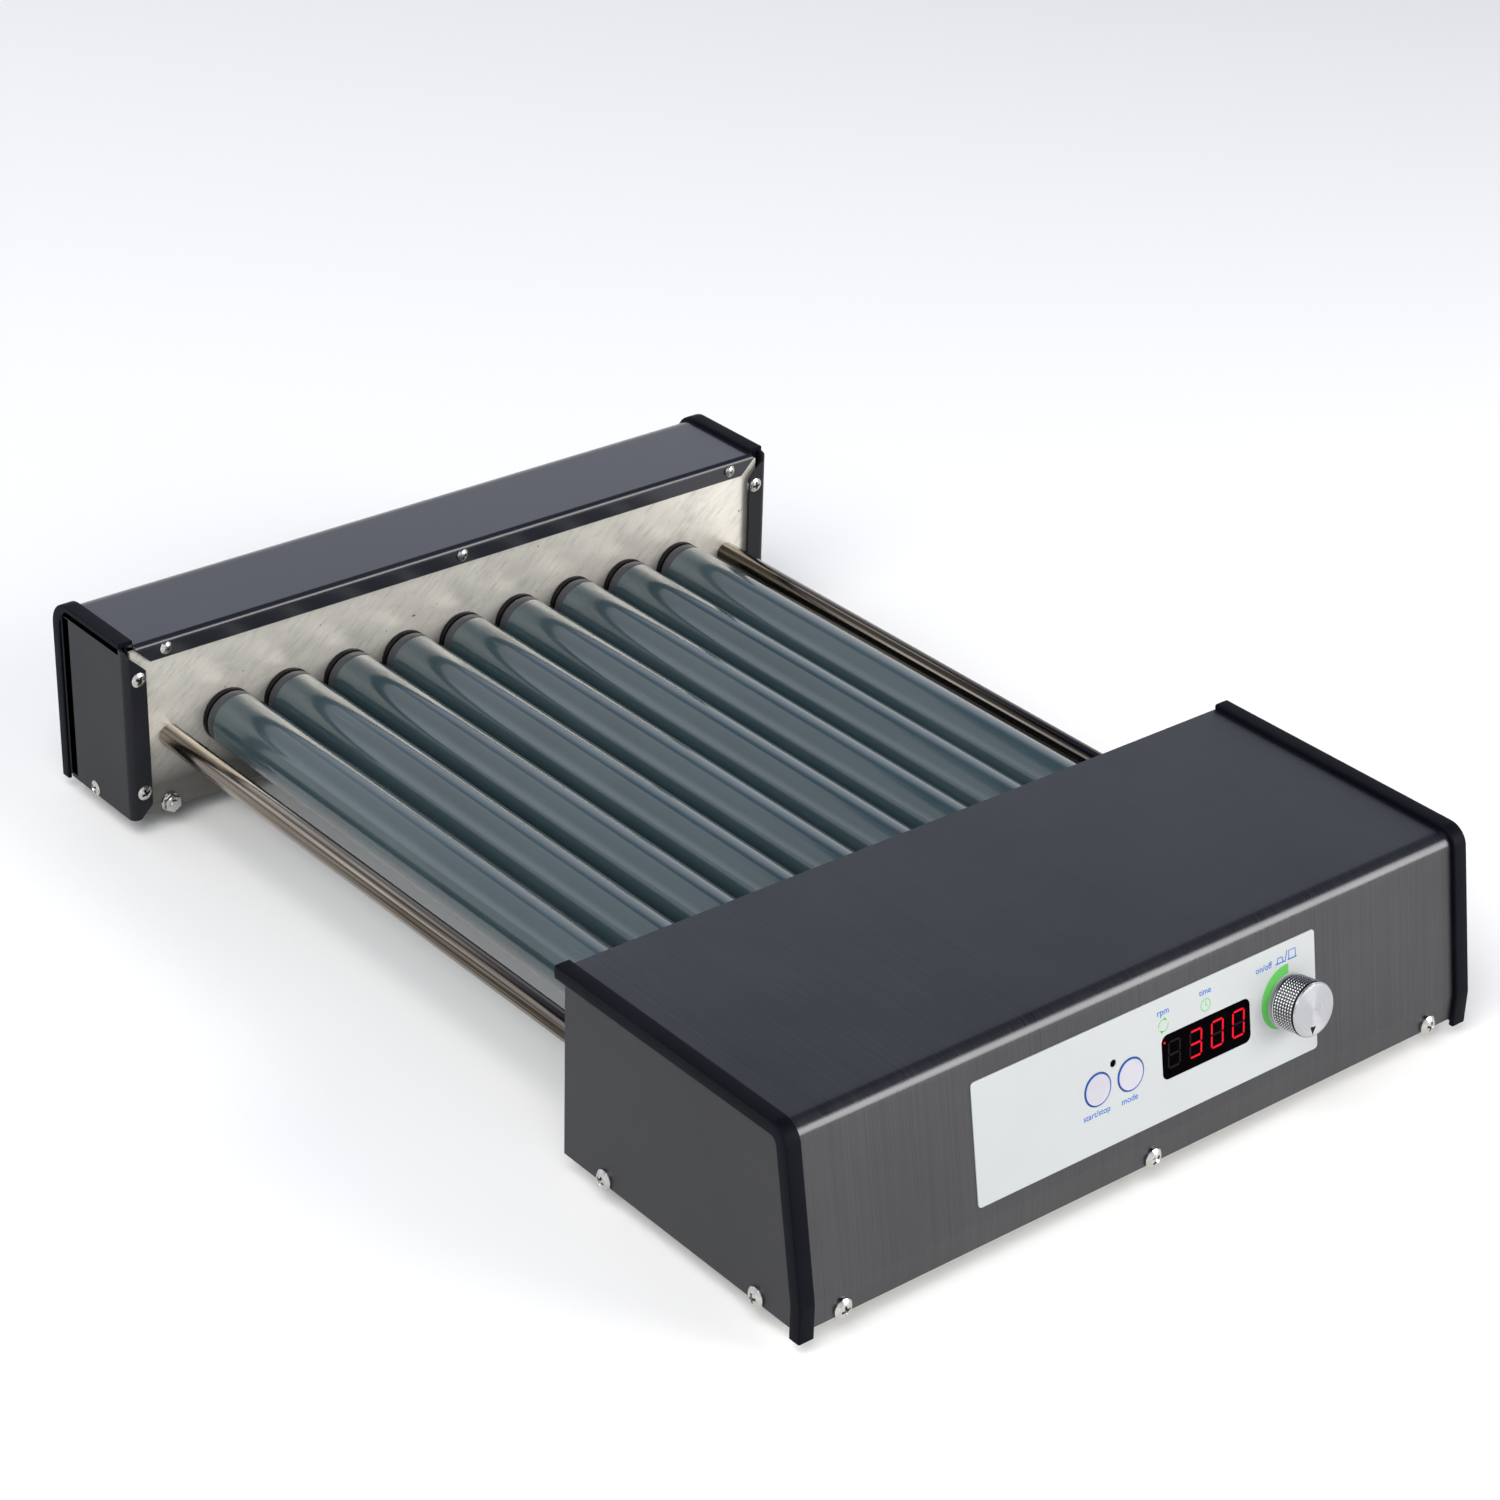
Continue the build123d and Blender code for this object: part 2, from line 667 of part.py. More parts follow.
# Coupling from the middle spindle to the motor shaft
motor_face_y = bracket_face_y - bracket_sheet
with BuildPart() as shaft_coupling:
    with BuildSketch(facing_front(coupling_front_y, 0, axis_z)):
        Circle(coupling_diameter / 2)
    extrude(amount=-coupling_length)
    with BuildSketch(facing_front(spindle_front_y, 0, axis_z)):
        Circle(spindle_diameter / 2 + push_gap)
    extrude(amount=coupling_grip + 1.0, mode=Mode.SUBTRACT)
    with BuildSketch(facing_front(coupling_front_y, 0, axis_z)):
        Circle(motor_shaft_diameter / 2 + push_gap)
    extrude(amount=-(coupling_grip + 1.0), mode=Mode.SUBTRACT)
save(shaft_coupling.part, "shaft_coupling")

# Gear motor: gearbox with its boss through the bracket, motor can behind it
motor_bore = motor_boss + 8.0
with BuildPart() as gear_motor:
    with BuildSketch(facing_front(motor_face_y, 0, axis_z)):
        Circle(gearbox_diameter / 2)
    extrude(amount=gearbox_length)
    with BuildSketch(facing_front(motor_face_y - gearbox_length, 0, axis_z)):
        Circle(motor_diameter / 2)
    extrude(amount=motor_length)
    with BuildSketch(facing_front(motor_face_y, 0, axis_z)):
        Circle(motor_boss_diameter / 2)
    extrude(amount=-motor_boss)
    with BuildSketch(facing_front(motor_face_y + motor_boss, 0, axis_z)):
        Circle(motor_shaft_diameter / 2 + running_gap)
    extrude(amount=motor_bore, mode=Mode.SUBTRACT)
save(gear_motor.part, "gear_motor")

with BuildPart() as motor_shaft:
    with BuildSketch(facing_front(coupling_front_y + coupling_grip, 0, axis_z)):
        Circle(motor_shaft_diameter / 2)
    extrude(amount=coupling_grip + coupling_gap + bracket_sheet - motor_boss + motor_bore - 0.5)
save(motor_shaft.part, "motor_shaft")

# Bracket that carries the motor, bent from one strip and screwed to the chassis
floor_z = underside + chassis_sheet
with BuildPart() as motor_bracket:
    with BuildSketch(Plane.YZ):
        with BuildLine():
            Polyline(
                (bracket_face_y, floor_z),
                (bracket_face_y, axis_z + bracket_rise),
                (motor_face_y, axis_z + bracket_rise),
                (motor_face_y, floor_z + bracket_sheet),
                (bracket_face_y - bracket_foot, floor_z + bracket_sheet),
                (bracket_face_y - bracket_foot, floor_z),
                close=True,
            )
        make_face()
    extrude(amount=bracket_width / 2, both=True)
    with BuildSketch(facing_front(bracket_face_y, 0, axis_z)):
        Circle(motor_boss_diameter / 2 + push_gap)
    extrude(amount=bracket_sheet, mode=Mode.SUBTRACT)
    drill(bracket_screws, clear_hole, 3)
save(motor_bracket.part, "motor_bracket")

# Side rods and the bolts that hold their ends to the two walls
with BuildPart() as side_rods:
    for x in (-rod_x, rod_x):
        with BuildSketch(facing_front(wall_face_y, x, rod_z)):
            Circle(rod_diameter / 2)
        extrude(amount=-(plate_face_y - wall_face_y))
        for end_y, inward in ((wall_face_y, -1), (plate_face_y, 1)):
            with BuildSketch(facing_front(end_y, x, rod_z)):
                Circle(rod_bolt_diameter / 2 + tapped_gap)
            extrude(amount=inward * (rod_bolt_depth + 1.0), mode=Mode.SUBTRACT)
save(side_rods.part, "side_rods")

with BuildPart() as rod_bolts:
    for x in (-rod_x, rod_x):
        for seat_y, inward in ((wall_back_y, -1), (plate_back_y, 1)):
            with BuildSketch(facing_front(seat_y, x, rod_z)):
                Circle(rod_bolt_diameter / 2)
            extrude(amount=inward * (chassis_sheet + rod_bolt_depth))
            with BuildSketch(facing_front(seat_y, x, rod_z)):
                RegularPolygon(rod_bolt_flats / 2, 6, major_radius=False)
            extrude(amount=-inward * rod_bolt_head)
save(rod_bolts.part, "rod_bolts")

# Control panel: label, window, display, board, switches and their buttons
board_face = -cover_sheet - board_depth
with BuildPart() as control_label:
    with BuildSketch(panel):
        with Locations((0, panel_middle)):
            RectangleRounded(*label_size, label_radius)
        with Locations((window_x, panel_middle)):
            RectangleRounded(*window_size, window_radius, mode=Mode.SUBTRACT)
        with Locations(*[(x, panel_middle) for x in button_xs]):
            Circle(button_diameter / 2 + button_gap, mode=Mode.SUBTRACT)
        with Locations(indicator_place):
            Circle(indicator_diameter / 2, mode=Mode.SUBTRACT)
        with Locations((knob_x, panel_middle)):
            Circle(encoder_bush_diameter / 2 + seat_gap, mode=Mode.SUBTRACT)
    extrude(amount=label_thickness)
save(control_label.part, "control_label")

with BuildPart() as display_window:
    with BuildSketch(panel.offset(-cover_sheet)):
        with Locations((window_x, panel_middle)):
            RectangleRounded(
                window_size[0] - 2 * seat_gap, window_size[1] - 2 * seat_gap, window_radius - seat_gap
            )
    extrude(amount=cover_sheet + label_thickness)
save(display_window.part, "display_window")

with BuildPart() as display_module:
    with BuildSketch(panel.offset(board_face)):
        with Locations((window_x, panel_middle)):
            Rectangle(window_size[0] - 3.0, window_size[1] - 2.0)
    extrude(amount=board_depth - 2 * seat_gap)
save(display_module.part, "display_module")

standoff_x = board_size[0] / 2 - standoff_inset
standoff_y = board_size[1] / 2 - standoff_inset
with BuildPart() as control_board:
    with BuildSketch(panel.offset(board_face - board_sheet)):
        with Locations((0, panel_middle)):
            Rectangle(*board_size)
    extrude(amount=board_sheet)
save(control_board.part, "control_board")

with BuildPart() as board_standoffs:
    with BuildSketch(panel.offset(board_face)):
        with Locations((0, panel_middle)):
            with GridLocations(2 * standoff_x, 2 * standoff_y, 2, 2):
                Circle(standoff_diameter / 2)
    extrude(amount=board_depth)
save(board_standoffs.part, "board_standoffs")

button_under = -cover_sheet - button_gap - button_flange
switch_rise = board_depth + cover_sheet + button_under - button_travel - seat_gap
with BuildPart() as push_switches:
    for x in button_xs:
        with BuildSketch(panel.offset(board_face)):
            with Locations((x, panel_middle)):
                Rectangle(switch_side, switch_side)
        extrude(amount=switch_rise - 1.0)
        with BuildSketch(panel.offset(board_face)):
            with Locations((x, panel_middle)):
                Circle(switch_stem_diameter / 2)
        extrude(amount=switch_rise)
save(push_switches.part, "push_switches")

for x, name in zip(button_xs, ("start", "mode")):
    with BuildPart() as button:
        with BuildSketch(panel.offset(button_under)):
            with Locations((x, panel_middle)):
                Circle(button_flange_diameter / 2)
        extrude(amount=button_flange)
        with BuildSketch(panel.offset(button_under)):
            with Locations((x, panel_middle)):
                Circle(button_diameter / 2)
        extrude(amount=label_thickness + button_proud - button_under)
    save(button.part, f"button_{name}")

# Encoder on the board, its shaft, and the knob that is pressed and turned
knob_base = label_thickness + knob_lift
knob_top = knob_base + knob_height
encoder_top = board_face + encoder_rise
encoder_bush_top = knob_base + knob_recess - knob_travel - 0.5
shaft_top = knob_top - 1.5
with BuildPart() as speed_encoder:
    with BuildSketch(panel.offset(board_face)):
        with Locations((knob_x, panel_middle)):
            Rectangle(encoder_side, encoder_side)
    extrude(amount=encoder_rise)
    with BuildSketch(panel.offset(board_face)):
        with Locations((knob_x, panel_middle)):
            Circle(encoder_bush_diameter / 2)
    extrude(amount=encoder_bush_top - board_face)
    with BuildSketch(panel.offset(encoder_bush_top)):
        with Locations((knob_x, panel_middle)):
            Circle(encoder_shaft_diameter / 2 + running_gap)
    extrude(amount=-(encoder_bush_top - board_face - 1.0), mode=Mode.SUBTRACT)
save(speed_encoder.part, "speed_encoder")

with BuildPart() as encoder_shaft:
    with BuildSketch(panel.offset(shaft_top)):
        with Locations((knob_x, panel_middle)):
            Circle(encoder_shaft_diameter / 2)
    extrude(amount=-encoder_shaft_length)
save(encoder_shaft.part, "encoder_shaft")

with BuildPart() as speed_knob:
    with BuildSketch(panel.offset(knob_base)):
        with Locations((knob_x, panel_middle)):
            Circle(knob_diameter / 2)
    extrude(amount=knob_height)
    out_of_panel = Axis(panel.origin, panel.z_dir)
    chamfer(speed_knob.edges().filter_by(GeomType.CIRCLE).sort_by(out_of_panel)[-1], knob_chamfer)
    with BuildSketch(panel.offset(knob_base)):
        with Locations((knob_x, panel_middle)):
            Circle(knob_recess_diameter / 2)
    extrude(amount=knob_recess, mode=Mode.SUBTRACT)
    with BuildSketch(panel.offset(knob_base)):
        with Locations((knob_x, panel_middle)):
            Circle(encoder_shaft_diameter / 2 + running_gap)
    extrude(amount=knob_height - 1.0, mode=Mode.SUBTRACT)
save(speed_knob.part, "speed_knob")

# Pan-head screws in two sizes: a shank and a head that narrows towards its top
screws = []
for shank, head_diameter, head in (
    (screw_diameter, screw_head_diameter, screw_head),
    (small_screw_diameter, small_screw_head_diameter, small_screw_head),
):
    rim = head * 0.4
    with BuildPart() as screw:
        with BuildSketch(Plane.XZ):
            with BuildLine():
                Polyline(
                    (0, head),
                    (0, -screw_length),
                    (shank / 2, -screw_length),
                    (shank / 2, 0),
                    (head_diameter / 2, 0),
                    (head_diameter / 2, rim),
                    (head_diameter / 2 - head + rim, head),
                    close=True,
                )
            make_face()
        revolve(axis=Axis.Z)
    screws.append(screw.part)

with BuildPart() as case_screws:
    with Locations(*[place.location for place in screw_places]):
        add(screws[0])
    with Locations(*[place.location for place in flange_screws]):
        add(screws[1])
save(case_screws.part, "case_screws")

# Flange nuts on studs, low on the brushed plate
with BuildPart() as plate_nuts:
    for x in (plate_nut_inset - half_width, half_width - plate_nut_inset):
        spot = facing_front(plate_face_y, x, underside + plate_nut_height)
        with BuildSketch(spot):
            Circle(nut_washer_diameter / 2)
        extrude(amount=nut_washer)
        with BuildSketch(spot):
            RegularPolygon(nut_flats / 2, 6, major_radius=False)
        extrude(amount=nut_height)
        with BuildSketch(spot):
            Circle(screw_diameter / 2)
        extrude(amount=nut_stud)
save(plate_nuts.part, "plate_nuts")

# Rubber feet, pushed into the two trays
with BuildPart() as feet:
    for x in (-foot_x, foot_x):
        for y in (*drive_foot_ys, bearing_foot_y):
            with BuildSketch(Plane.XY):
                with Locations((x, y)):
                    Circle(foot_diameter / 2)
            extrude(amount=foot_height)
            with BuildSketch(Plane.XY):
                with Locations((x, y)):
                    Circle(foot_spigot_diameter / 2)
            extrude(amount=foot_height + 2 * chassis_sheet)
save(feet.part, "feet")

# Power inlet in the right end plate: a flanged barrel with a blind socket round its pin
with BuildPart() as power_inlet:
    with BuildSketch(side_plane(half_width, inlet_z)):
        with Locations((inlet_y, 0)):
            Circle(inlet_flange_diameter / 2)
    extrude(amount=inlet_flange)
    with BuildSketch(side_plane(half_width + inlet_flange, inlet_z)):
        with Locations((inlet_y, 0)):
            Circle(inlet_body_diameter / 2)
    extrude(amount=-(inlet_depth + inlet_flange))
    with BuildSketch(side_plane(half_width + inlet_flange, inlet_z)):
        with Locations((inlet_y, 0)):
            Circle(inlet_bore_diameter / 2)
            Circle(inlet_pin_diameter / 2, mode=Mode.SUBTRACT)
    extrude(amount=-inlet_depth + 1.0, mode=Mode.SUBTRACT)
save(power_inlet.part, "power_inlet")
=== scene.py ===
"""Looks of the tube roller mixer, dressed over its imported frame.

Lengths are in millimetres until a mesh is made, and metres in the meshes themselves.
X runs across the rollers, Y from the control panel to the bearing housing, Z up.
"""

from math import cos, pi, radians, sin

import bmesh
import bpy
import numpy as np
from mathutils import Matrix


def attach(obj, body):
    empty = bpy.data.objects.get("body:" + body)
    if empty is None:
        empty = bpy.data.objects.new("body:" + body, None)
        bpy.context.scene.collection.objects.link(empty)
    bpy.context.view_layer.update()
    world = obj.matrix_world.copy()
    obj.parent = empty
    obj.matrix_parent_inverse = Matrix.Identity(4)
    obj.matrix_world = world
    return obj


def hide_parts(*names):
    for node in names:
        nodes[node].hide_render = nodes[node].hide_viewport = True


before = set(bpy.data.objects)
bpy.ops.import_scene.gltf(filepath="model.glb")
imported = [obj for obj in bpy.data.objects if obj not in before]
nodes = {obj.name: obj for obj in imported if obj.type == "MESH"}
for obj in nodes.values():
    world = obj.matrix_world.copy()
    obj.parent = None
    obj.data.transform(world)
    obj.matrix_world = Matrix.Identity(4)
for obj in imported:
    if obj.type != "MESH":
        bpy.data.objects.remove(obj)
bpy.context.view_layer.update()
MM = 0.001

# Sizes shared with the solids
HALF_WIDTH = 168.0
PLATE_INNER = 166.5
COVER_HALF = 164.9
TRIM_OUTER, TRIM_INNER = 169.5, 162.5
TRIM_LIP, TRIM_PROUD = 3.5, 2.0
UNDERSIDE, TRIM_FOOT = 8.0, 5.5
SHEET, SIDE_SHEET, SEAT = 1.2, 1.5, 0.1
DRIVE_REAR, DRIVE_TOP = -103.3, 85.5
DRIVE_CORNER = (-229.674, DRIVE_TOP)
KNEE = (-241.3465, 19.3)
DRIVE_BENDS = (5.0, 7.0)
WALL_FACE = -107.3
BED_FRONT, BED_BACK, BEARING_TOP = 193.3, 248.2, 88.0
BACK_BEND = 10.0
PLATE_FACE, PLATE_END = 194.8, 241.7
ROLLER_XS = np.arange(-4, 5) * 30.0
AXIS_Z, ROLLER_RADIUS, SPINDLE_HOLE = 43.0, 12.5, 4.05
CAP_FRONT, CAP_REAR, CAP_WIDTH = -104.0, 191.5, 5.0
ROD_X, ROD_Z, ROD_RADIUS = 148.5, 42.0, 5.0
LEAN = radians(10.0)
LABEL_RISE = 0.4
CONTROL_ROW = 30.0
KEY_XS = {"start": -26.7, "mode": -10.3}
KNOB_PLACE = (71.9, CONTROL_ROW)
KNOB_BASE, KNOB_TOP, KNOB_RADIUS = 1.6, 13.0, 11.0

# Points closer than this, in metres, are merged
MERGE_DISTANCE = 1e-7


# Places
class Place:
    """A point with three directions: local X, Y and Z go to origin + X ex + Y ey + Z ez."""

    def __init__(self, origin, ex, ey, ez):
        self.origin = np.array(origin, float)
        self.axes = np.array([ex, ey, ez], float)

    def __call__(self, points):
        return self.origin + np.asarray(points, float) @ self.axes

    def moved(self, x, y, z=0.0):
        return Place(self.origin + np.array([x, y, z]) @ self.axes, *self.axes)

    def spun(self, angle):
        """The same place, turned about its own Z."""
        ex, ey, ez = self.axes
        return Place(self.origin, ex * cos(angle) + ey * sin(angle), ey * cos(angle) - ex * sin(angle), ez)


# Axes of places whose Z looks up, to the front and to the back
UPWARD = ((1, 0, 0), (0, 1, 0), (0, 0, 1))
FRONTWARD = ((1, 0, 0), (0, 0, 1), (0, -1, 0))
BACKWARD = ((-1, 0, 0), (0, 0, 1), (0, 1, 0))
WORLD = Place((0, 0, 0), *UPWARD)
ACROSS = Place((0, 0, 0), (0, 1, 0), (0, 0, 1), (1, 0, 0))
PANEL = Place((0, *KNEE), (1, 0, 0), (0, sin(LEAN), cos(LEAN)), (0, -cos(LEAN), sin(LEAN)))


def along_y(x, y, z, forward=1):
    """Local Z runs along world Y, forwards or backwards, and local X stays level."""
    return Place((x, y, z), (forward, 0, 0), (0, 0, -1), (0, forward, 0))


# Meshes from arrays
def closed_object(name, parts):
    """An object made of (points, faces) pairs, its doubles merged and its normals outwards."""
    points, faces, count = [], [], 0
    for part_points, part_faces in parts:
        points.append(np.asarray(part_points, float))
        faces += [tuple(int(i) + count for i in face) for face in part_faces]
        count += len(part_points)
    mesh = bpy.data.meshes.new(name)
    mesh.from_pydata((np.concatenate(points) * MM).tolist(), [], faces)
    work = bmesh.new()
    work.from_mesh(mesh)
    bmesh.ops.remove_doubles(work, verts=work.verts, dist=MERGE_DISTANCE)
    bmesh.ops.recalc_face_normals(work, faces=work.faces)
    work.to_mesh(mesh)
    work.free()
    made = bpy.data.objects.new(name, mesh)
    bpy.context.scene.collection.objects.link(made)
    return made


def make_piece(name, parts, material, body, replaced=(), smooth=35.0, uv=None):
    """A piece of the joined parts that rides a body. Edges sharper than smooth degrees stay sharp."""
    piece = closed_object(name, parts)
    mesh = piece.data
    mesh.shade_smooth()
    mesh.set_sharp_from_angle(angle=radians(smooth))
    if uv is not None:
        write_uv(mesh, *uv)
    mesh.materials.append(material)
    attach(piece, body)
    if replaced:
        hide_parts(*replaced)
    return piece


def round_map(local):
    """U is the angle about the local Z, V the distance from it."""
    turn = np.arctan2(local[:, 1], local[:, 0]) / (2 * pi) + 0.5
    return np.stack([turn, np.hypot(local[:, 0], local[:, 1])], 1)


def sheet_map(local):
    """U runs across the rollers, V along the bent sheet: up, and forwards over the top."""
    return np.stack([local[:, 0], local[:, 2] + local[:, 1]], 1) * MM


def write_uv(mesh, name, place, pattern):
    """Own UV map of a piece, worked out from its points in the place's directions."""
    corners = np.empty(len(mesh.loops), np.int32)
    mesh.loops.foreach_get("vertex_index", corners)
    points = np.empty(len(mesh.vertices) * 3)
    mesh.vertices.foreach_get("co", points)
    local = (points.reshape(-1, 3)[corners] / MM - place.origin) @ place.axes.T
    mesh.uv_layers.new(name=name).data.foreach_set("uv", pattern(local).ravel().astype(np.float32))


def grid_faces(rows, columns, close_rows=False, close_columns=False):
    """Quads of a grid of rows x columns points, closed round either way if asked."""
    row = np.arange(rows if close_rows else rows - 1)
    column = np.arange(columns if close_columns else columns - 1)
    a, b = np.meshgrid(row, column, indexing="ij")
    c, d = (a + 1) % rows, (b + 1) % columns
    quads = np.stack([a * columns + b, a * columns + d, c * columns + d, c * columns + b], -1)
    return quads.reshape(-1, 4)


def turned(profile, place, segments=64, closed=False, wave=None):
    """Surface of revolution: each (radius, height) of the profile goes round the place's Z.

    A closed profile makes a ring; an open one ends on the axis at both ends. wave, if given,
    is a factor on the radius for each profile point and each angle.
    """
    profile = np.asarray(profile, float)
    angle = np.arange(segments) * 2 * pi / segments
    radius = profile[:, :1] * np.ones(segments)
    if wave is not None:
        radius = radius * wave(profile, angle)
    height = profile[:, 1:] * np.ones(segments)
    points = np.stack([radius * np.cos(angle), radius * np.sin(angle), height], -1).reshape(-1, 3)
    faces = grid_faces(len(profile), segments, close_rows=closed, close_columns=True)
    return place(points), faces.tolist()


def rounded_rod(radius, low, high, edge, steps=4):
    """Profile of a solid rod with quarter-round edges, from its low face to its high face."""
    quarter = np.linspace(0, pi / 2, steps + 1)
    bottom = np.stack([radius - edge + edge * np.sin(quarter), low + edge - edge * np.cos(quarter)], 1)
    top = np.stack([radius - edge + edge * np.cos(quarter), high - edge + edge * np.sin(quarter)], 1)
    return np.concatenate([[[0, low]], bottom, top, [[0, high]]])


def path_with_bends(corners, radii, spacing=3.0, arc_step=radians(4)):
    """Points and outward normals along a bent line: straight runs cut at the given spacing,
    each corner an arc of its radius. Outwards is to the left of the direction of travel."""
    corners = np.asarray(corners, float)
    points, normals = [], []

    def run(a, b, last):
        length = np.hypot(*(b - a))
        share = np.linspace(0, 1, max(2, int(length / spacing) + 2))[:, None]
        direction = (b - a) / length
        keep = slice(None) if last else slice(None, -1)
        points.append((a + (b - a) * share)[keep])
        normals.append(np.tile([-direction[1], direction[0]], (len(share), 1))[keep])

    start = corners[0]
    for index in range(1, len(corners) - 1):
        before = corners[index] - corners[index - 1]
        after = corners[index + 1] - corners[index]
        before, after = before / np.hypot(*before), after / np.hypot(*after)
        turn = np.arctan2(before[0] * after[1] - before[1] * after[0], before @ after)
        radius = radii[index - 1]
        reach = radius * abs(np.tan(turn / 2))
        run(start, corners[index] - before * reach, False)
        side = -np.sign(turn)
        first = side * np.array([-before[1], before[0]])
        centre = corners[index] - before * reach - first * radius
        angles = np.linspace(0, turn, max(3, int(abs(turn) / arc_step) + 2))[:-1]
        spin = np.stack([first[0] * np.cos(angles) - first[1] * np.sin(angles),
                         first[0] * np.sin(angles) + first[1] * np.cos(angles)], 1)
        points.append(centre + spin * radius)
        normals.append(spin if side > 0 else -spin)
        start = corners[index] + after * reach
    run(start, corners[-1], True)
    return np.concatenate(points), np.concatenate(normals)


def bent_sheet(path, normals, thickness, low, high, place, edge=0.3):
    """Sheet metal: the path is its outer face in the place's first two axes, and at each station
    it spans low to high along the third. Corners of the section and both rims are chamfered."""
    low, high = (np.broadcast_to(np.asarray(v, float), len(path)) for v in (low, high))
    tangent = np.stack([normals[:, 1], -normals[:, 0]], 1)
    first, last = tangent[0] * edge, -tangent[-1] * edge

    def ring(depth):
        outer, inner = path - normals * depth, path - normals * (thickness - depth)
        outer[0] += first
        inner[0] += first
        outer[-1] += last
        inner[-1] += last
        tail = [path[-1] - normals[-1] * edge, path[-1] - normals[-1] * (thickness - edge)]
        head = [path[0] - normals[0] * (thickness - edge), path[0] - normals[0] * edge]
        return np.concatenate([outer, tail, inner[::-1], head])

    def spread(values):
        return np.concatenate([values, [values[-1]] * 2, values[::-1], [values[0]] * 2])

    count = len(path)
    full, smaller = ring(0.0), ring(edge)
    stations = [(smaller, spread(low)), (full, spread(low + edge)),
                (full, spread(high - edge)), (smaller, spread(high))]
    points = np.concatenate([np.column_stack([section, level]) for section, level in stations])
    size = 2 * count + 4
    faces = grid_faces(4, size, close_columns=True).tolist()
    here = np.arange(count - 1)
    pair = 2 * count + 1 - here
    caps = np.stack([here, here + 1, pair - 1, pair], 1)
    ends = np.array([[count - 1, count, count + 1, count + 2],
                     [0, 2 * count + 1, 2 * count + 2, 2 * count + 3]])
    caps = np.concatenate([caps, ends])
    faces += caps.tolist() + (caps + 3 * size).tolist()
    return place(points), faces


def swept(profile, path, normals, place):
    """A closed (across, out) profile carried along a path, with its two ends closed."""
    profile = np.asarray(profile, float)
    flat = path[:, None, :] + normals[:, None, :] * profile[None, :, 1:]
    across = np.broadcast_to(profile[:, 0], flat.shape[:2])[..., None]
    points = np.concatenate([flat, across], -1).reshape(-1, 3)
    size = len(profile)
    faces = grid_faces(len(path), size, close_columns=True).tolist()
    faces += [list(range(size)), list(range(len(points) - size, len(points)))[::-1]]
    return place(points), faces


def inset(outline, depth):
    """A closed outline moved inwards by depth, each corner along its mitre."""
    area = np.sum(outline[:, 0] * np.roll(outline[:, 1], -1) - outline[:, 1] * np.roll(outline[:, 0], -1))
    ahead = np.roll(outline, -1, 0) - outline
    ahead /= np.hypot(ahead[:, 0], ahead[:, 1])[:, None]
    normal = np.sign(area) * np.stack([-ahead[:, 1], ahead[:, 0]], 1)
    behind = np.roll(normal, 1, 0)
    mitre = normal + behind
    return outline + mitre * (depth * 2 / np.sum(mitre * mitre, 1))[:, None]


def slab(outline, low, high, place, edge=0.3):
    """A flat plate: a closed outline between two levels, with both rims chamfered."""
    outline = np.asarray(outline, float)
    smaller = inset(outline, edge)
    levels = [(smaller, low), (outline, low + edge), (outline, high - edge), (smaller, high)]
    points = np.concatenate([np.column_stack([ring, np.full(len(ring), level)]) for ring, level in levels])
    size = len(outline)
    faces = grid_faces(4, size, close_columns=True).tolist()
    faces += [list(range(size))[::-1], list(range(3 * size, 4 * size))]
    return place(points), faces


def circle(radius, centre=(0, 0), segments=48):
    """Points round a circle."""
    angle = np.arange(segments) * 2 * pi / segments
    return np.stack([centre[0] + radius * np.cos(angle), centre[1] + radius * np.sin(angle)], 1)


def ribbon(line, widths, low, high, place, closed=False):
    """A flat band along a line, its width given at each point, between two levels."""
    line = np.asarray(line, float)
    widths = np.broadcast_to(np.asarray(widths, float), len(line))[:, None] / 2
    if closed:
        ahead = np.roll(line, -1, 0) - np.roll(line, 1, 0)
    else:
        ahead = np.gradient(line, axis=0)
    side = np.stack([-ahead[:, 1], ahead[:, 0]], 1) / np.hypot(ahead[:, 0], ahead[:, 1])[:, None]
    left, right = line + side * widths, line - side * widths
    rings = [np.column_stack([edge, np.full(len(line), level)]) for edge, level in
             ((left, low), (right, low), (right, high), (left, high))]
    points = np.stack(rings, 1).reshape(-1, 3)
    faces = grid_faces(len(line), 4, close_rows=closed, close_columns=True).tolist()
    if not closed:
        faces += [[0, 1, 2, 3], list(range(len(points) - 4, len(points)))[::-1]]
    return place(points), faces


def mesh_arrays(mesh):
    """(points in millimetres, faces) of a mesh."""
    points = np.empty(len(mesh.vertices) * 3)
    mesh.vertices.foreach_get("co", points)
    return points.reshape(-1, 3) / MM, [tuple(face.vertices) for face in mesh.polygons]


def evaluated_arrays(holder):
    """(points in millimetres, faces) of an object as its modifiers or its curve make it."""
    bpy.context.view_layer.update()
    graph = bpy.context.evaluated_depsgraph_get()
    return mesh_arrays(bpy.data.meshes.new_from_object(holder.evaluated_get(graph)))


def cut_away(parts, cutters):
    """The joined parts with every cutter taken out of them, as (points, faces)."""
    blank, cutter = closed_object("blank", parts), closed_object("cutters", cutters)
    cut = blank.modifiers.new("cut", "BOOLEAN")
    cut.operation, cut.object, cut.solver = "DIFFERENCE", cutter, "EXACT"
    result = evaluated_arrays(blank)
    for used in (blank, cutter):
        bpy.data.objects.remove(used)
    return result


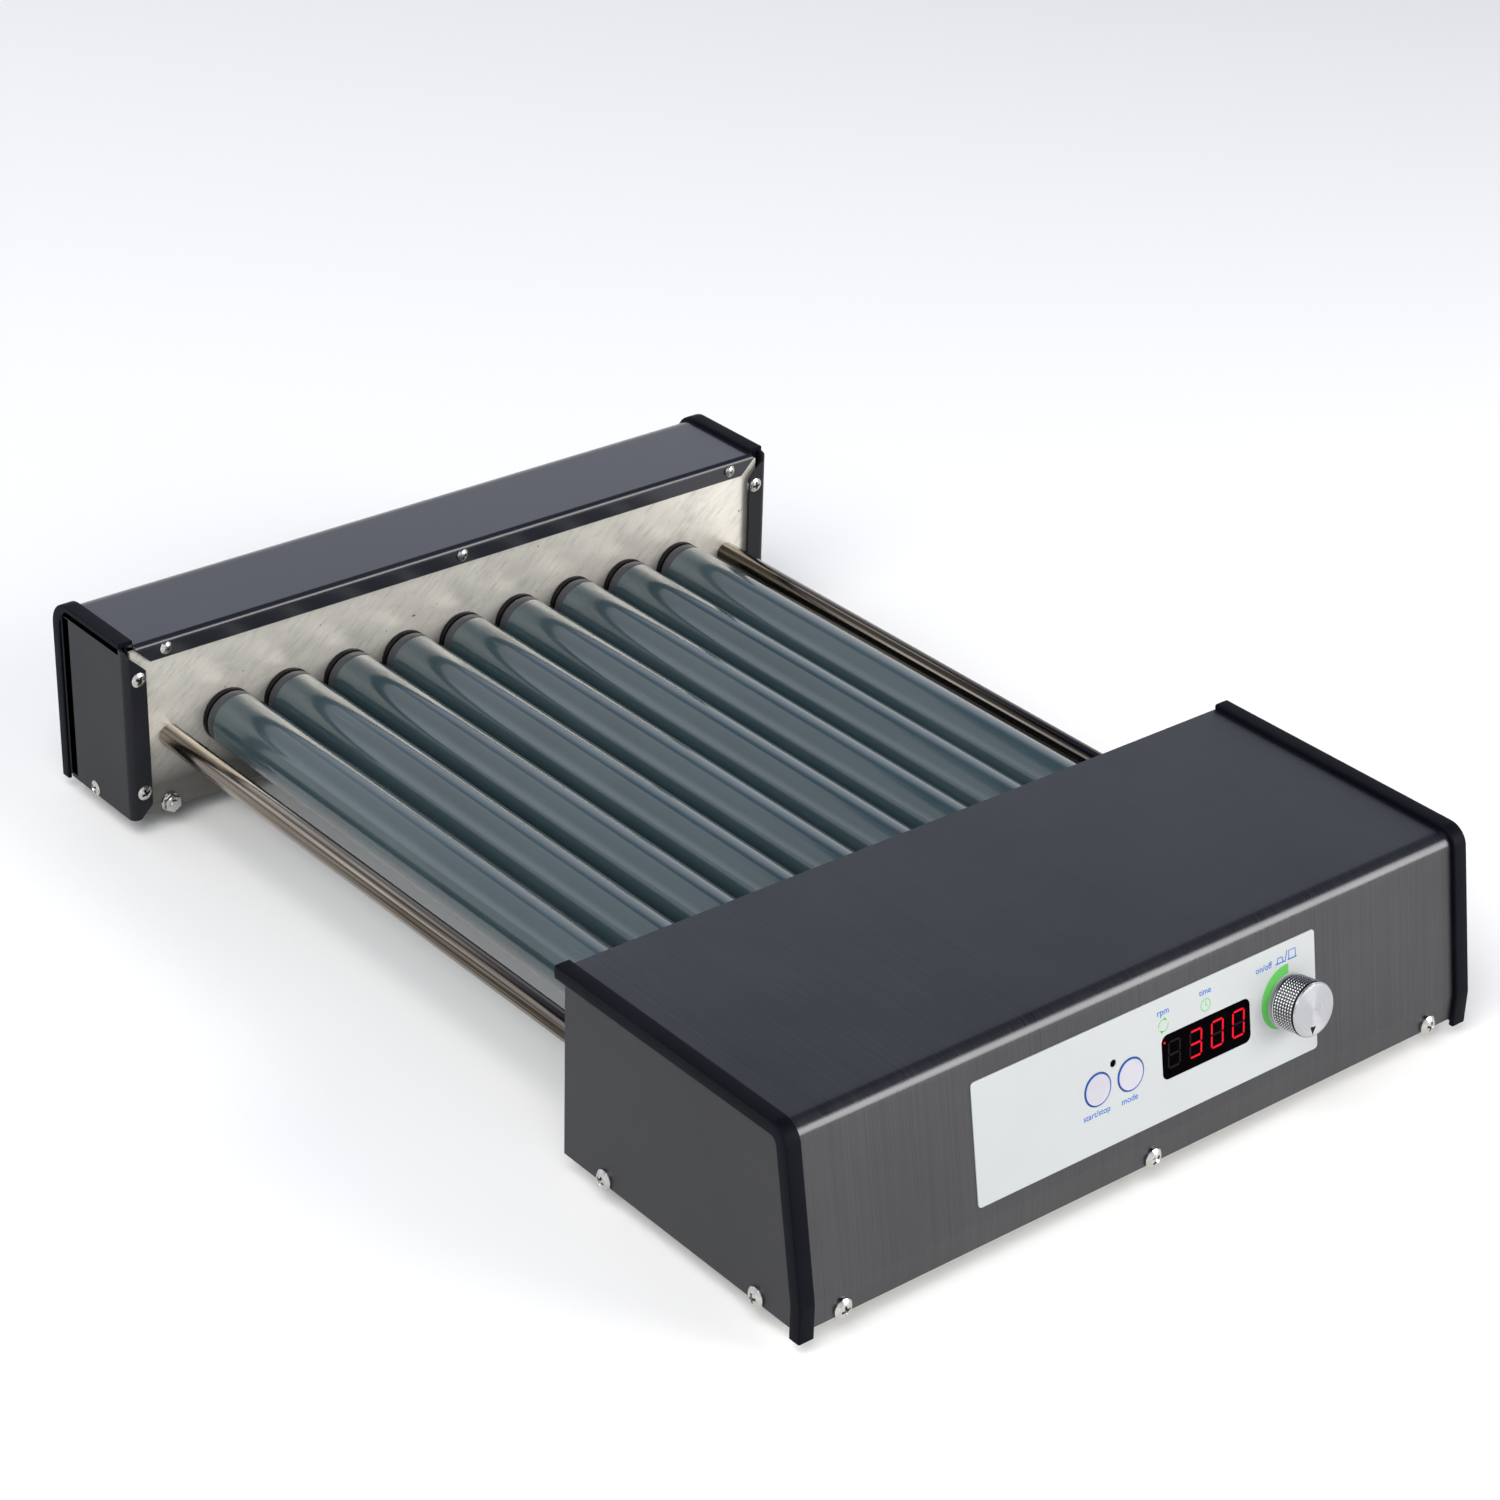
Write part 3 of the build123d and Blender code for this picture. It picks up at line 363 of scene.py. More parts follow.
# Materials
class Finish:
    """A principled material and the few nodes that its grain, wear and bump are made of."""

    def __init__(self, name, color, metallic=0.0, roughness=0.5, **sockets):
        self.material = bpy.data.materials.new(name)
        self.material.use_nodes = True
        self.tree = self.material.node_tree
        self.shader = self.tree.nodes["Principled BSDF"]
        self.shader.inputs["Base Color"].default_value = (*color, 1)
        self.shader.inputs["Metallic"].default_value = metallic
        self.shader.inputs["Roughness"].default_value = roughness
        for socket, value in sockets.items():
            self.shader.inputs[socket.replace("_", " ")].default_value = value
        self.color, self.roughness = color, roughness
        self.place = self.tree.nodes.new("ShaderNodeTexCoord").outputs["Object"]
        self.height = None

    def node(self, kind, **inputs):
        """A node of that kind, each input joined to a socket or set to a value."""
        made = self.tree.nodes.new(kind)
        for name, value in inputs.items():
            socket = made.inputs[name.replace("_", " ")]
            if isinstance(value, bpy.types.NodeSocket):
                self.tree.links.new(value, socket)
            else:
                socket.default_value = value
        return made

    def noise(self, scale, stretch=(1, 1, 1), turn=(0, 0, 0), detail=4.0, rough=0.55, distortion=0.0):
        """Noise over the piece; stretch is how fast it changes along each axis."""
        mapping = self.node("ShaderNodeMapping", Vector=self.place, Rotation=turn)
        spread = self.node("ShaderNodeMapping", Vector=mapping.outputs[0], Scale=stretch)
        made = self.node("ShaderNodeTexNoise", Vector=spread.outputs[0], Scale=scale, Detail=detail,
                         Roughness=rough, Distortion=distortion)
        return made.outputs["Fac"]

    def remap(self, value, low, high, to_low=0.0, to_high=1.0):
        """The value's range from low to high, carried to another one and held at its ends."""
        made = self.node("ShaderNodeMapRange", Value=value, From_Min=low, From_Max=high,
                         To_Min=to_low, To_Max=to_high)
        return made.outputs[0]

    def mix(self, factor, other):
        """Lays another colour over what the base colour has, by the factor."""
        made = self.tree.nodes.new("ShaderNodeMix")
        made.data_type = "RGBA"
        socket = self.shader.inputs["Base Color"]
        if socket.links:
            self.tree.links.new(socket.links[0].from_socket, made.inputs[6])
        else:
            made.inputs[6].default_value = (*self.color, 1)
        made.inputs[7].default_value = (*other, 1)
        self.tree.links.new(factor, made.inputs[0])
        self.tree.links.new(made.outputs[2], socket)
        return self

    def uv_place(self, uv_map):
        """The piece's own UV map as a place for patterns."""
        made = self.node("ShaderNodeUVMap")
        made.uv_map = uv_map
        return made.outputs[0]

    def grain_along(self, uv_map):
        """Turns the anisotropic highlight to the U direction of the piece's own UV map."""
        tangent = self.node("ShaderNodeTangent")
        tangent.direction_type, tangent.uv_map = "UV_MAP", uv_map
        self.tree.links.new(tangent.outputs[0], self.shader.inputs["Tangent"])
        return self

    def vary_roughness(self, value, low, high):
        """Roughness from low to high as the value goes from 0.3 to 0.7."""
        self.tree.links.new(self.remap(value, 0.3, 0.7, low, high), self.shader.inputs["Roughness"])
        return self

    def bump(self, value, distance, strength=1.0):
        """Adds a relief of that height, in millimetres, under what is there."""
        made = self.node("ShaderNodeBump", Height=value, Distance=distance * MM, Strength=strength)
        if self.height is not None:
            self.tree.links.new(self.height, made.inputs["Normal"])
        self.height = made.outputs[0]
        self.tree.links.new(self.height, self.shader.inputs["Normal"])
        return self


def brushed(name, color, lighter, roughness, stretch, relief, metallic=1.0, **sockets):
    """Metal with a fine straight grain in colour, gloss and relief, and faint clouds."""
    made = Finish(name, color, metallic, roughness, **sockets)
    grain = made.noise(1.0, stretch, detail=6.0, rough=0.7)
    cloud = made.noise(18.0, detail=3.0)
    made.mix(made.remap(grain, 0.35, 0.7), lighter)
    made.mix(made.remap(cloud, 0.35, 0.75, 0.0, 0.35), tuple(0.75 * c for c in color))
    made.vary_roughness(grain, roughness - 0.05, roughness + 0.08)
    made.bump(grain, relief)
    return made


def make_enamel(name, color, roughness, speckle=0.25, **sockets):
    """Sprayed enamel: fine orange peel, a little cloudiness and dust specks."""
    made = Finish(name, color, 0.0, roughness, **sockets)
    peel = made.noise(1400.0, detail=2.0)
    cloud = made.noise(9.0, detail=4.0)
    dust = made.noise(620.0, detail=1.0)
    made.mix(made.remap(cloud, 0.3, 0.75), tuple(c * 1.22 for c in color))
    made.mix(made.remap(dust, 0.74, 0.8, 0.0, speckle), tuple(min(1, c * 3.0) for c in color))
    made.vary_roughness(cloud, roughness - 0.06, roughness + 0.08)
    made.bump(peel, 0.006)
    return made


def make_rubber(name, color, roughness, shine=0.15):
    """Matt rubber: a fine pebble with soft grey bloom."""
    made = Finish(name, color, 0.0, roughness, Specular_IOR_Level=shine)
    pebble = made.noise(2600.0, detail=3.0)
    bloom = made.noise(30.0, detail=5.0)
    made.mix(made.remap(bloom, 0.45, 0.8, 0.0, 0.6), tuple(c * 1.9 + 0.002 for c in color))
    made.vary_roughness(bloom, roughness - 0.08, roughness + 0.06)
    made.bump(pebble, 0.02)
    return made


def make_moulding(name, color, roughness, relief=0.012, **sockets):
    """Moulded plastic with a light spark texture."""
    made = Finish(name, color, 0.0, roughness, **sockets)
    spark = made.noise(1900.0, detail=3.0)
    flow = made.noise(40.0, detail=3.0, distortion=0.6)
    made.mix(made.remap(flow, 0.4, 0.75, 0.0, 0.5), tuple(c * 1.25 for c in color))
    made.vary_roughness(spark, roughness - 0.05, roughness + 0.07)
    made.bump(spark, relief)
    return made


def make_plate_steel():
    """Bright sheet with slanting hairlines, cross scratches, stains and specks, and painted shade and
    reflection darkening it towards its foot.
    """
    made = Finish("plate_steel", (0.76, 0.722, 0.64), 0.6, 0.42)
    hairline = made.noise(1.0, (60, 60, 2600), turn=(0, radians(32), 0), detail=6.0, rough=0.7)
    scratch = made.noise(1.0, (500, 60, 90), turn=(0, radians(-50), 0), detail=7.0, rough=0.75)
    stain = made.noise(26.0, (1.0, 1.0, 1.7), detail=7.0, rough=0.62, distortion=0.8)
    speck = made.noise(420.0, detail=1.0)
    made.mix(made.remap(hairline, 0.35, 0.7, 0.0, 0.5), (0.93, 0.9, 0.83))
    made.mix(made.remap(scratch, 0.5, 0.78, 0.0, 0.65), (0.36, 0.35, 0.32))
    made.mix(made.remap(stain, 0.52, 0.76, 0.0, 0.6), (0.42, 0.4, 0.36))
    # Painted shade and reflection: the colour goes dark towards the plate's foot, standing in for the dark
    # bed it mirrors below the rollers
    height = made.node("ShaderNodeSeparateXYZ", Vector=made.place).outputs["Z"]
    made.mix(made.remap(height, 0.044, 0.02, 0.0, 0.93), (0.09, 0.087, 0.08))
    made.mix(made.remap(speck, 0.77, 0.8, 0.0, 0.9), (0.03, 0.03, 0.03))
    made.vary_roughness(stain, 0.3, 0.5)
    made.bump(hairline, 0.012).bump(scratch, 0.008)
    return made


def make_rod_steel():
    """Ground rod, its grain along it, with long dark streaks along it as painted reflections."""
    made = brushed("rod_steel", (0.13, 0.11, 0.088), (0.38, 0.335, 0.28), 0.14, (1100, 9, 1100), 0.0015)
    # Painted reflection: near-black streaks along the rod stand for the dark lines a polished rod mirrors
    streak = made.noise(1.0, (430, 1.2, 430), detail=3.0)
    made.mix(made.remap(streak, 0.44, 0.54, 0.0, 0.9), (0.03, 0.023, 0.016))
    return made


def make_roller_plastic():
    """Glossy drawn tube: slow clouds along it and fine rub marks."""
    made = Finish("roller_plastic", (0.028, 0.05, 0.057), 0.0, 0.13, Coat_Weight=0.35, Coat_Roughness=0.05)
    flow = made.noise(14.0, (1.0, 0.35, 1.0), detail=5.0, distortion=1.2)
    rub = made.noise(1.0, (1200, 30, 1200), detail=5.0)
    made.mix(made.remap(flow, 0.35, 0.7, 0.0, 0.8), (0.044, 0.07, 0.078))
    made.mix(made.remap(rub, 0.62, 0.8, 0.0, 0.3), (0.13, 0.17, 0.185))
    made.vary_roughness(flow, 0.1, 0.2)
    made.bump(flow, 0.05).bump(rub, 0.003)
    return made


def make_label_film():
    """Pale printed film with a soft gloss."""
    made = Finish("label_film", (0.425, 0.446, 0.444), 0.0, 0.35, Coat_Weight=0.2, Coat_Roughness=0.3)
    made.mix(made.remap(made.noise(30.0), 0.3, 0.7, 0.0, 0.6), (0.455, 0.47, 0.468))
    made.vary_roughness(made.noise(60.0), 0.3, 0.42).bump(made.noise(1500.0), 0.006)
    return made


def make_window_lens():
    """Nearly black lens over the display, with a faint film of dust."""
    made = Finish("window_lens", (0.0012, 0.0008, 0.0012), 0.0, 0.12, IOR=1.03)
    dust = made.noise(500.0, detail=2.0)
    made.mix(made.remap(dust, 0.5, 0.8, 0.0, 0.5), (0.003, 0.0016, 0.002))
    made.vary_roughness(made.noise(90.0), 0.08, 0.16).bump(made.noise(700.0), 0.002)
    return made


def make_ink(name, color, glow=0.0):
    """Screen-printed ink with a slightly uneven lay-down; glow makes it a lit segment."""
    made = Finish(name, color, 0.0, 0.5, IOR=1.12)
    lighter = tuple(min(1, c * 1.15 + 0.001) for c in color)
    made.mix(made.remap(made.noise(900.0), 0.35, 0.7, 0.0, 0.5), lighter)
    made.bump(made.noise(1500.0), 0.003)
    if glow:
        made.shader.inputs["Emission Color"].default_value = (*color, 1)
        made.shader.inputs["Emission Strength"].default_value = glow
    return made


def make_knob_side():
    """Bright knurled metal, with painted shade in the bottoms of its grooves."""
    made = brushed("knob_side", (0.66, 0.66, 0.68), (0.86, 0.86, 0.88), 0.16, (700, 700, 700), 0.003)
    reach = made.node("ShaderNodeSeparateXYZ", Vector=made.uv_place("round")).outputs["Y"]
    # Painted shade: the colour goes nearly black towards the bottoms of the knurl's grooves
    made.mix(made.remap(reach, KNOB_RADIUS - 0.08, KNOB_RADIUS - 0.45, 0.0, 0.93), (0.03, 0.03, 0.035))
    return made


def make_knob_face():
    """Spun metal face: fine rings about the axis, in colour, relief and highlight."""
    made = Finish("knob_face", (0.4, 0.405, 0.42), 1.0, 0.24, Anisotropic=0.9, Anisotropic_Rotation=0.25)
    place = made.node("ShaderNodeMapping", Vector=made.uv_place("round"), Scale=(3.0, 14.0, 1.0)).outputs[0]
    rings = made.node("ShaderNodeTexNoise", Vector=place, Scale=1.0, Detail=6.0).outputs["Fac"]
    made.mix(made.remap(rings, 0.35, 0.7, 0.0, 0.7), (0.6, 0.6, 0.62))
    made.bump(rings, 0.004)
    made.grain_along("round")
    return made


# Finishes of the pieces
black_steel = brushed("black_steel", (0.073, 0.073, 0.077), (0.11, 0.11, 0.115), 0.3, (4200, 7, 7), 0.0015,
                      Anisotropic=0.8)
black_steel.grain_along("sheet")
cover_paint = make_enamel("cover_paint", (0.0095, 0.0105, 0.0145), 0.5, speckle=0.1,
                          Specular_IOR_Level=0.05, Coat_Weight=1.0, Coat_Roughness=0.2)
side_enamel = make_enamel("side_enamel", (0.0145, 0.015, 0.017), 0.42, Specular_IOR_Level=0.33)
bed_enamel = make_enamel("bed_enamel", (0.0075, 0.008, 0.0105), 0.4, Specular_IOR_Level=0.2)
plate_steel = make_plate_steel()
tray_steel = brushed("tray_steel", (0.5, 0.5, 0.49), (0.66, 0.66, 0.65), 0.34, (30, 1600, 30), 0.004)
rod_steel = make_rod_steel()
spindle_steel = brushed("spindle_steel", (0.5, 0.5, 0.5), (0.68, 0.68, 0.68), 0.25, (500, 1800, 500), 0.003)
chrome = brushed("screw_plating", (0.47, 0.455, 0.43), (0.66, 0.645, 0.62), 0.16, (900, 900, 900), 0.004)
trim_rubber = make_rubber("trim_rubber", (0.0025, 0.003, 0.0054), 0.5, shine=0.05)
foot_rubber = make_rubber("foot_rubber", (0.012, 0.012, 0.013), 0.65)
belt_rubber = make_rubber("belt_rubber", (0.014, 0.014, 0.014), 0.6)
# Near-black moulding of the bushes: partly their own colour, partly painted shadow round the roller ends
bush_plastic = make_moulding("bush_plastic", (0.004, 0.004, 0.005), 0.5, Specular_IOR_Level=0.12)
cap_plastic = make_moulding("cap_plastic", (0.04, 0.041, 0.047), 0.45, Specular_IOR_Level=0.25)
black_plastic = make_moulding("black_plastic", (0.013, 0.013, 0.014), 0.4, Specular_IOR_Level=0.3)
button_plastic = make_moulding("button_plastic", (0.425, 0.412, 0.455), 0.4, relief=0.004)
laminate = make_moulding("board_laminate", (0.01, 0.09, 0.035), 0.35)
standoff_brass = brushed("standoff_brass", (0.6, 0.45, 0.2), (0.75, 0.6, 0.3), 0.25, (900, 900, 900), 0.004)
motor_metal = brushed("motor_metal", (0.5, 0.5, 0.51), (0.64, 0.64, 0.65), 0.35, (300, 1400, 300), 0.006)
roller_plastic = make_roller_plastic()
label_film = make_label_film()
window_lens = make_window_lens()
blue_ink = make_ink("blue_ink", (0.0, 0.11, 0.44))
green_ink = make_ink("green_ink", (0.105, 0.42, 0.09))
pale_green_ink = make_ink("pale_green_ink", (0.125, 0.47, 0.11))
navy_ink = make_ink("navy_ink", (0.018, 0.075, 0.33))
black_ink = make_ink("black_ink", (0.01, 0.01, 0.01))
lit_segment = make_ink("lit_segment", (0.5, 0.003, 0.013), glow=0.5)
dark_segment = make_ink("dark_segment", (0.006, 0.004, 0.0045))
knob_side = make_knob_side()
knob_face = make_knob_face()


# Drive cover, with the openings of the control panel
def panel_cutter(outline, depth=4.0):
    """A block through the panel, on both sides of its face."""
    return slab(outline, -depth, depth, PANEL, edge=0.01)


def rounded_box(width, height, radius, centre):
    """Outline of a rectangle with round corners."""
    angle = np.linspace(0, pi / 2, 8)
    corners = []
    for turn, (sx, sy) in enumerate(((1, 1), (-1, 1), (-1, -1), (1, -1))):
        spin = angle + turn * pi / 2
        corners.append(np.stack([centre[0] + sx * (width / 2 - radius) + radius * np.cos(spin),
                                 centre[1] + sy * (height / 2 - radius) + radius * np.sin(spin)], 1))
    return np.concatenate(corners)


window_opening = rounded_box(45.5, 18.0, 3.0, (28.3, CONTROL_ROW))
key_openings = [circle(6.7, (x, CONTROL_ROW)) for x in KEY_XS.values()]
lamp_opening = circle(1.5, (-18.6, 37.4), 24)
knob_opening = circle(4.3, KNOB_PLACE)
panel_holes = [panel_cutter(hole) for hole in (window_opening, *key_openings, lamp_opening, knob_opening)]
drive_path, drive_normals = path_with_bends(
    [(KNEE[0], UNDERSIDE), KNEE, DRIVE_CORNER, (DRIVE_REAR, DRIVE_TOP)], DRIVE_BENDS
)
drive_sheet = bent_sheet(drive_path, drive_normals, SHEET, -COVER_HALF, COVER_HALF, ACROSS)
make_piece("drive_cover_sheet", [cut_away([drive_sheet], panel_holes)], black_steel.material,
           "frame", ["drive_cover"], uv=("sheet", WORLD, sheet_map))

# Bearing cover: a front flange with slanted ends, a top that widens past the bend, and a back
FLANGE_FACE, FLANGE_FOOT, FLANGE_BEND = PLATE_FACE - SHEET, 79.0, 2.5
FLANGE_FOOT_HALF, FLANGE_HALF, WIDENING = 156.0, 163.0, 0.5
bearing_path, bearing_normals = path_with_bends(
    [(FLANGE_FACE, FLANGE_FOOT), (FLANGE_FACE, BEARING_TOP), (BED_BACK, BEARING_TOP), (BED_BACK, UNDERSIDE)],
    (FLANGE_BEND, BACK_BEND), spacing=1.0
)
travel = np.concatenate([[0], np.cumsum(np.hypot(*np.diff(bearing_path, axis=0).T))])
past_bend = np.clip((bearing_path[:, 0] - (FLANGE_FACE + FLANGE_BEND)) / WIDENING, 0, 1)
flange_half = np.minimum(FLANGE_FOOT_HALF + travel, FLANGE_HALF)
bearing_half = flange_half * (1 - past_bend) + COVER_HALF * past_bend
bearing_sheet = bent_sheet(bearing_path, bearing_normals, SHEET, -bearing_half, bearing_half, ACROSS)
make_piece("bearing_cover_sheet", [bearing_sheet], cover_paint.material,
           "frame", ["bearing_cover"])


# Side plates of both housings
def drive_side(side):
    """A plate that follows the cover's line, a seat's depth inside it, back to the roller wall."""
    back = [[WALL_FACE, DRIVE_TOP - SEAT], [WALL_FACE, UNDERSIDE]]
    outline = np.concatenate([drive_path - drive_normals * SEAT, back])
    outline = outline[outline[:, 0] < WALL_FACE + 0.001]
    low, high = sorted((side * PLATE_INNER, side * HALF_WIDTH))
    return slab(outline, low, high, ACROSS)


def corner_drop(radius, distance):
    """How far a round corner lies below its top edge, at a distance from its upright edge."""
    inward = np.clip(radius - distance, 0, radius)
    return radius - np.sqrt(radius**2 - inward**2)


def bearing_side(side, flange=8.7, bend=1.6, flange_top=84.5, foot_slant=6.0):
    """A flange over the bright plate, a round bend and the plate to the back.

    The plate's upper corners are round; the flange's top slopes down inwards and its foot is slanted.
    """
    flange_x, bend_x = HALF_WIDTH - flange, HALF_WIDTH - 1.0
    route = [(flange_x, BED_FRONT), (HALF_WIDTH, BED_FRONT), (HALF_WIDTH, PLATE_END)]
    route = [(side * x, y) for x, y in (route if side > 0 else route[::-1])]
    path, normals = path_with_bends(route, (bend,), spacing=0.6)
    across, depth = np.abs(path[:, 0]), path[:, 1]
    top = BEARING_TOP - SEAT - corner_drop(3.0, depth - BED_FRONT) - corner_drop(5.0, PLATE_END - depth)
    top = np.where(across < bend_x, np.minimum(top, flange_top - (bend_x - across)), top)
    bottom = UNDERSIDE + np.clip(flange_x + foot_slant - across, 0, foot_slant)
    return bent_sheet(path, normals, SIDE_SHEET, bottom, top, WORLD)


for side, word in ((-1, "left"), (1, "right")):
    make_piece(f"drive_side_{word}", [drive_side(side)], side_enamel.material,
               "frame", [f"drive_end_plate_{word}"])
    make_piece(f"bearing_side_{word}", [bearing_side(side)], bed_enamel.material,
               "frame", [f"bearing_end_plate_{word}"])

# Rubber trims
LEG_INNER, SLOT_INNER, SLOT_OUTER = 165.0, 166.35, 168.1


def trim_profile(side, soft=0.7, toe_round=0.5):
    """Section of an edge trim as (across, out): a web with round corners over the cover's edge, and
    two legs inwards with a slot for the plate between them."""
    quarter = np.linspace(0, pi / 2, 5)
    corner = np.stack([np.cos(quarter), np.sin(quarter)], 1)
    outer = [TRIM_OUTER - soft, TRIM_PROUD - soft] + soft * corner
    inner = ([TRIM_INNER + soft, TRIM_PROUD - soft] + soft * corner * [-1, 1])[::-1]
    toe = [TRIM_OUTER - toe_round, -TRIM_LIP + toe_round] + toe_round * corner[::-1] * [1, -1]
    legs = [(TRIM_INNER, 0.02), (LEG_INNER, 0.02), (LEG_INNER, -TRIM_LIP), (SLOT_INNER, -TRIM_LIP),
            (SLOT_INNER, -SEAT), (SLOT_OUTER, -SEAT), (SLOT_OUTER, -TRIM_LIP)]
    return np.concatenate([outer, inner, legs, toe]) * [side, 1]


def both_trims(corners, radii):
    """The trim of the left edge and that of the right one, along the same line."""
    path, normals = path_with_bends(corners, radii, spacing=6.0)
    return [swept(trim_profile(side), path, normals, ACROSS) for side in (-1, 1)]


drive_trims = both_trims([(KNEE[0], TRIM_FOOT), KNEE, DRIVE_CORNER, (DRIVE_REAR, DRIVE_TOP)], DRIVE_BENDS)
make_piece("drive_edge_trims", drive_trims, trim_rubber.material, "frame", ["drive_trims"])

# Strips down the back edge of each bearing plate, as ranges across, along and up
BACK_STRIPS = (
    ((SLOT_OUTER, TRIM_OUTER), (236.2, 242.7), (9.75, 85.0)),
    ((166.6, 169.4), (241.8, 243.2), (8.5, 80.0)),
    ((LEG_INNER, 167.9), (241.8, 244.8), (8.5, 80.0)),
)
bearing_trims = both_trims([(BED_FRONT + 3.0, BEARING_TOP), (BED_BACK, BEARING_TOP), (BED_BACK, TRIM_FOOT)],
                           (BACK_BEND,))
for side in (-1, 1):
    for (x0, x1), (y0, y1), (z0, z1) in BACK_STRIPS:
        low, high = sorted((side * x0, side * x1))
        strip = [(y0, z0), (y1, z0), (y1, z1), (y0, z1)]
        bearing_trims.append(slab(strip, low, high, ACROSS, edge=0.4))
make_piece("bearing_edge_trims", bearing_trims, trim_rubber.material,
           "frame", ["bearing_trims"])

# Rollers: a tube with broken edges, and two end caps whose plugs reach into it
TUBE_BORE, TUBE_LIP, EDGE_BREAK = 10.5, 12.2, 0.35
PLUG_RADIUS, PLUG_END = 10.45, CAP_WIDTH + 12.0
tube_front, tube_rear = CAP_FRONT + CAP_WIDTH, CAP_REAR - CAP_WIDTH
tube_profile = [(TUBE_BORE, tube_front), (TUBE_LIP, tube_front)]
stations = (tube_front + EDGE_BREAK, -60.0, 40.0, 140.0, tube_rear - EDGE_BREAK)
tube_profile += [(ROLLER_RADIUS, station) for station in stations]
tube_profile += [(TUBE_LIP, tube_rear), (TUBE_BORE, tube_rear)]
cap_section = [(SPINDLE_HOLE, 0.0), (11.2, 0.0), (11.9, 0.25), (12.3, 0.9), (12.4, CAP_WIDTH - 0.3),
               (12.3, CAP_WIDTH), (PLUG_RADIUS, CAP_WIDTH), (PLUG_RADIUS, PLUG_END), (SPINDLE_HOLE, PLUG_END)]
for number, x in enumerate(ROLLER_XS, start=1):
    body = f"roller_{number}"
    tube = turned(tube_profile, along_y(x, 0, AXIS_Z), 72, closed=True)
    make_piece(f"{body}_sleeve", [tube], roller_plastic.material, body, [f"{body}_tube"])
    caps = [turned(cap_section, along_y(x, CAP_FRONT, AXIS_Z), 60, closed=True),
            turned(cap_section, along_y(x, CAP_REAR, AXIS_Z, -1), 60, closed=True)]
    make_piece(f"{body}_ends", caps, cap_plastic.material, body, [f"{body}_caps"])

# Flanged bushes: one in the roller wall and one in the bearing plate for each roller. Their near-black
# flanges are partly the bushes' own colour and partly painted shadow round each roller's end.
BUSH_FLANGE, BUSH_BARREL, BUSH_LENGTH = 2.5, 6.0, 7.0
bush_section = [(SPINDLE_HOLE, 0.0), (SPINDLE_HOLE, BUSH_LENGTH), (BUSH_BARREL, BUSH_LENGTH),
                (BUSH_BARREL, BUSH_FLANGE), (11.8, BUSH_FLANGE), (12.2, 2.1), (12.2, 0.5), (11.8, 0.1),
                (5.5, 0.0)]
bushes = []
for x in ROLLER_XS:
    bushes.append(turned(bush_section, along_y(x, WALL_FACE + BUSH_FLANGE, AXIS_Z, -1), 56, closed=True))
    bushes.append(turned(bush_section, along_y(x, PLATE_FACE - BUSH_FLANGE, AXIS_Z, 1), 56, closed=True))
make_piece("flanged_bushes", bushes, bush_plastic.material, "frame", ["roller_bushes"])

rod_profile = rounded_rod(ROD_RADIUS, WALL_FACE, PLATE_FACE, 0.4)
make_piece("bright_rods", [turned(rod_profile, along_y(x, 0, ROD_Z), 56) for x in (-ROD_X, ROD_X)],
           rod_steel.material, "frame", ["side_rods"])


# Screws and nuts
def rectangle(half_length, half_width, level):
    """Four corners about the local Z, at a level."""
    return np.array([(-half_length, -half_width, level), (half_length, -half_width, level),
                     (half_length, half_width, level), (-half_length, half_width, level)])


def pan_head(radius, head, recess):
    """Pan head: low rim and spherical dome over a shank, with a tapered cross cut into it."""
    rim = head * 0.35
    dome = head - rim
    ball = (radius**2 + dome**2) / (2 * dome)
    reach = np.linspace(radius, 0, 9)
    crown = np.stack([reach, head - ball + np.sqrt(ball**2 - reach**2)], 1)
    base = [[0, -0.5], [radius * 0.5, -0.5], [radius * 0.5, 0], [radius - 0.15, 0], [radius, 0.15],
            [radius, rim * 0.6]]
    blank = turned(np.concatenate([base, crown]), WORLD, 40)
    half = radius * 0.145
    foot = rectangle(recess * 0.55, half * 0.7, head * 0.3)
    mouth = rectangle(recess, half, head + 0.3)
    arm = np.concatenate([foot, mouth])
    faces = [[0, 1, 2, 3], [4, 7, 6, 5]] + [[i, (i + 1) % 4, (i + 1) % 4 + 4, i + 4] for i in range(4)]
    for angle in (0, pi / 2):
        blank = cut_away([blank], [(WORLD.spun(angle)(arm), faces)])
    return blank


# The front strip, the flanges over the bright plate, the back, the side plates and the motor bracket
SCREW_XS = (-148.7, 0, 148.7)
large_places = [Place((x, KNEE[0], 11.0), *FRONTWARD) for x in SCREW_XS]
large_places += [Place((s * 163.0, BED_FRONT, z), *FRONTWARD) for s in (-1, 1) for z in (20.3, 73.4)]
large_places += [Place((x, BED_BACK, 12.0), *BACKWARD) for x in SCREW_XS]
large_places += [Place((s * HALF_WIDTH, y, 11.0), (0, s, 0), (0, 0, 1), (s, 0, 0))
                 for s in (-1, 1) for y in (-132.3, -218.8, 222.1)]
large_places += [Place((x, -172.6, 11.5), *UPWARD) for x in (-19.0, 19.0)]
small_places = [Place((x, FLANGE_FACE, 83.6), *FRONTWARD) for x in SCREW_XS]

# How far each screw happens to be turned, in degrees
SCREW_TURNS = (12, 48, 75, 20, 63, 35, 5, 82, 51, 28, 70, 15, 40, 58, 88, 9, 33, 66, 24, 45, 79)
large_head, small_head = pan_head(4.0, 2.6, 2.3), pan_head(2.8, 1.8, 1.5)
screws = [(place, large_head) for place in large_places] + [(place, small_head) for place in small_places]
heads = []
for (place, (points, faces)), turn in zip(screws, SCREW_TURNS):
    heads.append((place.spun(radians(turn))(points), faces))
make_piece("pan_head_screws", heads, chrome.material, "frame", ["case_screws"], smooth=28)

